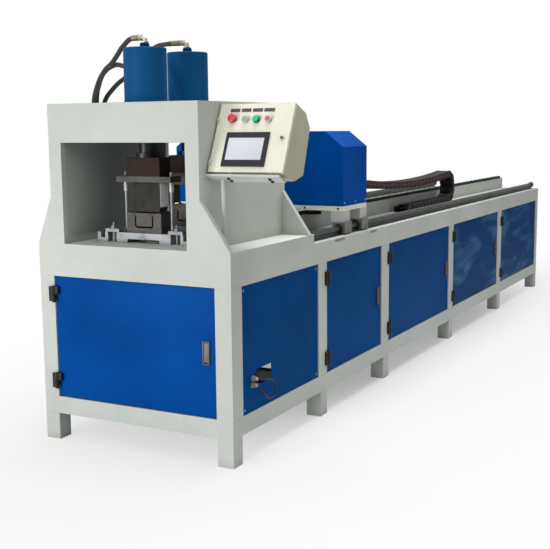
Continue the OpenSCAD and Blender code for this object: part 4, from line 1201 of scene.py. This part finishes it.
def addButtons(p):
    caps = {  # place, finish, body, slot, node
        "estopHead": ("estop", "redPlastic", "estop", "red_plastic", "estop_button"),
        "lampLeftLens": (
            "lampLeft", "paleGreenPlastic", "lamp_left", "lamp_plastic", "lamp_button_left"),
        "startCap": ("start", "greenPlastic", "start", "green_plastic", "start_button"),
        "lampRightLens": (
            "lampRight", "paleRedPlastic", "lamp_right", "lamp_plastic", "lamp_button_right"),
    }
    for name, (place, finish, body, slot, node) in caps.items():
        turnedPiece(name, (finish, body, slot), [p[place]], p.get(name, lens), 48, stands=[node])
    rings = {"lampLeftLens": ("whiteRing", 12.1), "startCap": ("darkGreenPlastic", 13.5),
             "lampRightLens": ("whiteRing", 12.1)}
    for name, (finish, inner) in rings.items():
        place, _, body, slot, _ = caps[name]
        profile = [(inner, 10), (15.5, 10), (16, 11), (16, 13.5), (14.6, 15), (inner + 0.4, 15),
                   (inner, 14.4)]
        turnedPiece(place + "Ring", (finish, body, slot), [p[place]], profile, 48, True)
    # collar nuts on the panel
    for place, finish in (("estop", "darkRedPlastic"), ("lampLeft", "whiteRing"),
                          ("start", "darkGreenPlastic"), ("lampRight", "whiteRing")):
        turnedPiece(place + "Collar", (finish, "console_front", "cream_paint"), [p[place]],
                    [(14.2, 0), (16.4, 0), (16.4, 3), (15.2, 4.4), (14.2, 4.4)], 36, True)
    # key lock: a domed knob with a dark slot
    m = Maker(console)
    x, _, z = p["key"]
    m.turned([(0, -22), (7, -22), (7, 4.2), (9, 4.2), (9, 6), (8, 6.9), (2, 7.2), (0, 7.2)], p["key"],
             frontwards, 32)
    m.block((x - 7, 19, z - 30), (x + 7, 22, z), 0.8)
    m.done("keyBarrel", "keyPlastic", "key", "chromed", ["key_lock"])
    turnedPiece("keyCylinder", ("blackIron", "key", "chromed"), [p["key"]],
                [(6.2, 6.2), (6.2, 7.6), (5.4, 8.2), (1.2, 8.2), (1, 7), (0, 7)], 28)
    turnedPiece("keyRose", ("keyPlastic", "console_front", "cream_paint"), [p["key"]],
                [(9.4, 0), (11.6, 0), (11.2, 2), (9.4, 2.4)], 32, True)


def border(name, settled, edges, depths, wide, bevel, segments=2):
    # four bars inside a rectangle, the upright ones first
    left, right, low, high = edges
    m = Maker(console)
    bars = ((left, low, left + wide, high), (right - wide, low, right, high),
            (left, low, right, low + wide), (left, high - wide, right, high))
    for x0, z0, x1, z1 in bars:
        m.block((x0, depths[0], z0), (x1, depths[1], z1), bevel, segments)
    m.done(name, *settled)


def addPanel(p):
    dark = ("console_front", "screen_dark")
    m = Maker(console)
    low, high = p["legendHeights"]
    for a, b in p["legends"]:
        m.block((a, -1.4, low), (b, 0.2, high), 0.7)
    m.done("legendPlates", "legendPlastic", *dark)
    m = Maker(console)
    x0, x1, z0, z1 = p["display"]
    m.block((x0 + 0.3, -6.1, z0 + 0.3), (x1 - 0.3, -5.2, z1 - 0.3), 0.3)
    m.done("displayPane", "displayGlass", *dark)
    x0, x1, z0, z1 = p["bezel"]
    border("bezelLip", ("bezelPlastic", *dark), (x0 - 1, x1 + 1, z0 - 1, z1 + 1), (-8, 0.4), 5, 1.6, 3)
    border("doorSeal", ("blackRubber", "machine_frame", "cream_paint"), p["seal"], (15.9, 16.6), 5, 0.2)
    # bolts under the shelf
    m = Maker(console)
    for x, y, z in p["shelfBolts"]:
        m.turned([(8.6, -0.4), (8.6, 1.2), (7, 1.4)], (x, y, z), (0, 0, -1), 24)
        nut(m, (x, y, z - 1.1), (0, 0, -1), 7.6, 4.8)
    m.done("shelfBolts", *fixedIron)
    profile = [(26, 0), (26, 5), (24.5, 6.5), (12.5, 6.5), (10.6, 9), (10.6, 12)]
    turnedPiece("postFoot", ("framePaint", "machine_frame", "frame_paint"), [p["postFoot"]],
                profile, 36, False, bed, upwards)


addButtons(panel)
addPanel(panel)
print("console ready")


# ---- carriage, rails and bed ----

runners = {
    "railX": 462,
    "railZ": 940,
    "railRadius": 16,
    "railFront": 830,
    "fronts": [1257, 1491],  # of the bearings on each rail
    "length": 90,
    "sealTurn": (-52, 284),  # degrees, its start and how far it reaches round the rail
    "liftSlots": [(1070, 1199), (1545, 1649)],
    "servo": (233, 1420, 1360),
    "fanRings": range(30, 5, -4),  # inner radius of each
    "connector": (84, -125),  # back and up from the fan's middle
    "legs": [(0, 91), (870, 100), (1727, 114), (2974, 98), (4219, 102), (5487, 71)],  # start, width
    "legEnds": (214, 800),
    "weldRadius": 1.3,
}


def addSeals(r):
    # open wipers on both ends of each bearing
    m = Maker()
    inner, outer = r["railRadius"] + 1.2, r["railRadius"] + 10.5
    start, reach = r["sealTurn"]
    turns = [math.radians(start + reach * k / 22) for k in range(23)]
    outline = [(outer * math.cos(a), outer * math.sin(a)) for a in turns]
    outline += [(inner * math.cos(a), inner * math.sin(a)) for a in reversed(turns)]
    for side in (-1, 1):
        for y in r["fronts"]:
            for near in (y - 5.5, y + r["length"] + 0.2):
                place = Matrix.Translation((side * r["railX"], near, r["railZ"])) @ facing
                m.slab(outline, -5.3, 0, place, 0.9)
    m.done("bearingSeals", "blackRubber", "carriage", "black_iron")


def addRailEnds(r):
    rail = r["railRadius"]
    profile = [(0, 3), (rail - 2, 3), (rail + 1.4, 1), (rail + 1.4, -14), (rail + 0.2, -14)]
    ends = [(side * r["railX"], r["railFront"], r["railZ"]) for side in (-1, 1)]
    turnedPiece("railCaps", ("blackRubber", "machine_frame", "black_iron"), ends, profile, 32, at=bed)


def addLiftSlots(r):
    # scuffed pockets under the edge of the side rails, for lifting straps
    m = Maker()
    for x in (0.85 - halfBed, halfBed):
        for a, b in r["liftSlots"]:
            outline = [(a + 4, 890), (b - 4, 890), (b, 894), (b, 898), (b - 4, 902), (a + 4, 902),
                       (a, 898), (a, 894)]
            m.slab(outline, -1.2, 0.35, Matrix.Translation((x, 0, 0)) @ sideways)
    m.done("liftSlots", "scuffedPaint", "machine_frame", "frame_paint")


def addServo(r):
    # hidden drive: rings of a fan grille on the motor, and a connector's shell
    m = Maker()
    x, y, z = r["servo"]
    for inner in r["fanRings"]:
        outer = inner + 1.5
        m.turned([(inner, 0), (outer, 0), (outer, 1.4), (inner, 1.4)], (x, y, z), ring=True)
    back, up = r["connector"]
    m.turned([(12, 0), (14, 2), (14, 22), (12, 24), (6, 26), (0, 26)], (x, y + back, z + up),
             (0, 1, 0), 20)
    m.done("servoDetails", *movingIron)


def addWelds(r):
    # thin beads where the legs meet the rails, on the outer faces
    m = Maker()
    for side in (-1, 1):
        for start, width in r["legs"]:
            count = max(4, int(width / 4))
            for end in r["legEnds"]:
                run = [Vector((side * (halfBed - 0.2), start + 1 + (width - 2) * k / count,
                               end + 0.3 * (k % 2))) for k in range(count + 1)]
                m.bent(run, r["weldRadius"], 6)
    m.done("weldBeads", "framePaint", "machine_frame", "frame_paint")


for add in (addSeals, addRailEnds, addLiftSlots, addServo, addWelds):
    add(runners)
print("carriage and bed ready")


# ---- floor, lights and world ----

studio = {
    "floorColour": rgb(236, 236, 236),
    "floorSize": 40,
    "shadowKept": 0.34,  # how much of its own shading the floor shows near the machine
    "spread": (2.2, 0.42),  # across and along, so that 1 is about the machine's edge
    "far": (2.6, 2.2),  # where the floor turns white, softness
    "near": (1.35, 1.1),  # where the shade by the machine ends, softness
    "nearShade": 0.3,
    "worldLight": 0.26,
    "mirroredLight": 0.25,
    "lamps": {  # place, power, size, what it points at
        "keyLamp": ((-3.2, -10.0, 1.0), 365, 3.0, (0, -2.5, 0.3)),
        "frontLamp": ((1.2, -7.5, 6.0), 80, 3.5, (0, -2.0, 0.9)),
        "topLamp": ((0.5, -1.7, 6.2), 230, 3.5, (0.4, -1.6, 0.9)),
        "bedLamp": ((0.2, 1.8, 5.5), 105, 3.5, (0, 1.2, 0.9)),
    },
}
white = {"Color": (1, 1, 1, 1), "Strength": 1.0}


def addFloor(s):
    f = Finish("floorPaint")
    seen = f.node("ShaderNodeLightPath", output="Is Camera Ray")
    x, y = f.axis("X"), f.axis("Y")
    out = (x * x * s["spread"][0] + y * y * s["spread"][1]) ** 0.5
    near = 1 - out.above(*s["near"])
    share = (1 - s["shadowKept"]) + out.above(*s["far"]) * s["shadowKept"] - near * s["nearShade"]
    plain = f.node("ShaderNodeBsdfDiffuse", {"Color": s["floorColour"]})
    glow = f.node("ShaderNodeEmission", white)
    both = f.node("ShaderNodeMixShader", {0: seen * share, 1: plain, 2: glow})
    f.node("ShaderNodeOutputMaterial", {"Surface": both})
    mesh = bpy.data.meshes.new("floor")
    size = s["floorSize"]
    corners = [(-size, -size, 0), (size, -size, 0), (size, size, 0), (-size, size, 0)]
    mesh.from_pydata(corners, [], [(0, 1, 2, 3)])
    floor = bpy.data.objects.new("floor", mesh)
    floor.data.materials.append(f.material)
    scene.collection.objects.link(floor)


def addWorld(s):
    world = bpy.data.worlds.new("studioWorld")
    scene.world = world
    world.use_nodes = True
    w = Nodes(world.node_tree)
    w.tree.nodes.clear()
    seen = w.node("ShaderNodeLightPath", output="Is Camera Ray")
    light = w.node("ShaderNodeBackground", {"Color": white["Color"], "Strength": s["worldLight"]})
    plain = w.node("ShaderNodeBackground", white)
    shown = seen.sum("MAXIMUM", seen["Is Glossy Ray"] * s["mirroredLight"])
    both = w.node("ShaderNodeMixShader", {0: shown, 1: light, 2: plain})
    w.node("ShaderNodeOutputWorld", {"Surface": both})


def addLamp(name, place, power, size, target):
    data = bpy.data.lights.new(name, "AREA")
    data.energy = power
    data.size = size
    lamp = bpy.data.objects.new(name, data)
    lamp.location = place
    lamp.rotation_euler = (Vector(target) - Vector(place)).to_track_quat("-Z", "Y").to_euler()
    scene.collection.objects.link(lamp)


addFloor(studio)
addWorld(studio)
for name, settings in studio["lamps"].items():
    addLamp(name, *settings)
scene.view_settings.view_transform = "Standard"
print("studio ready")


# ---- the patterns taken out of the scene ----

for shape in patterns:
    bpy.data.objects.remove(shape)
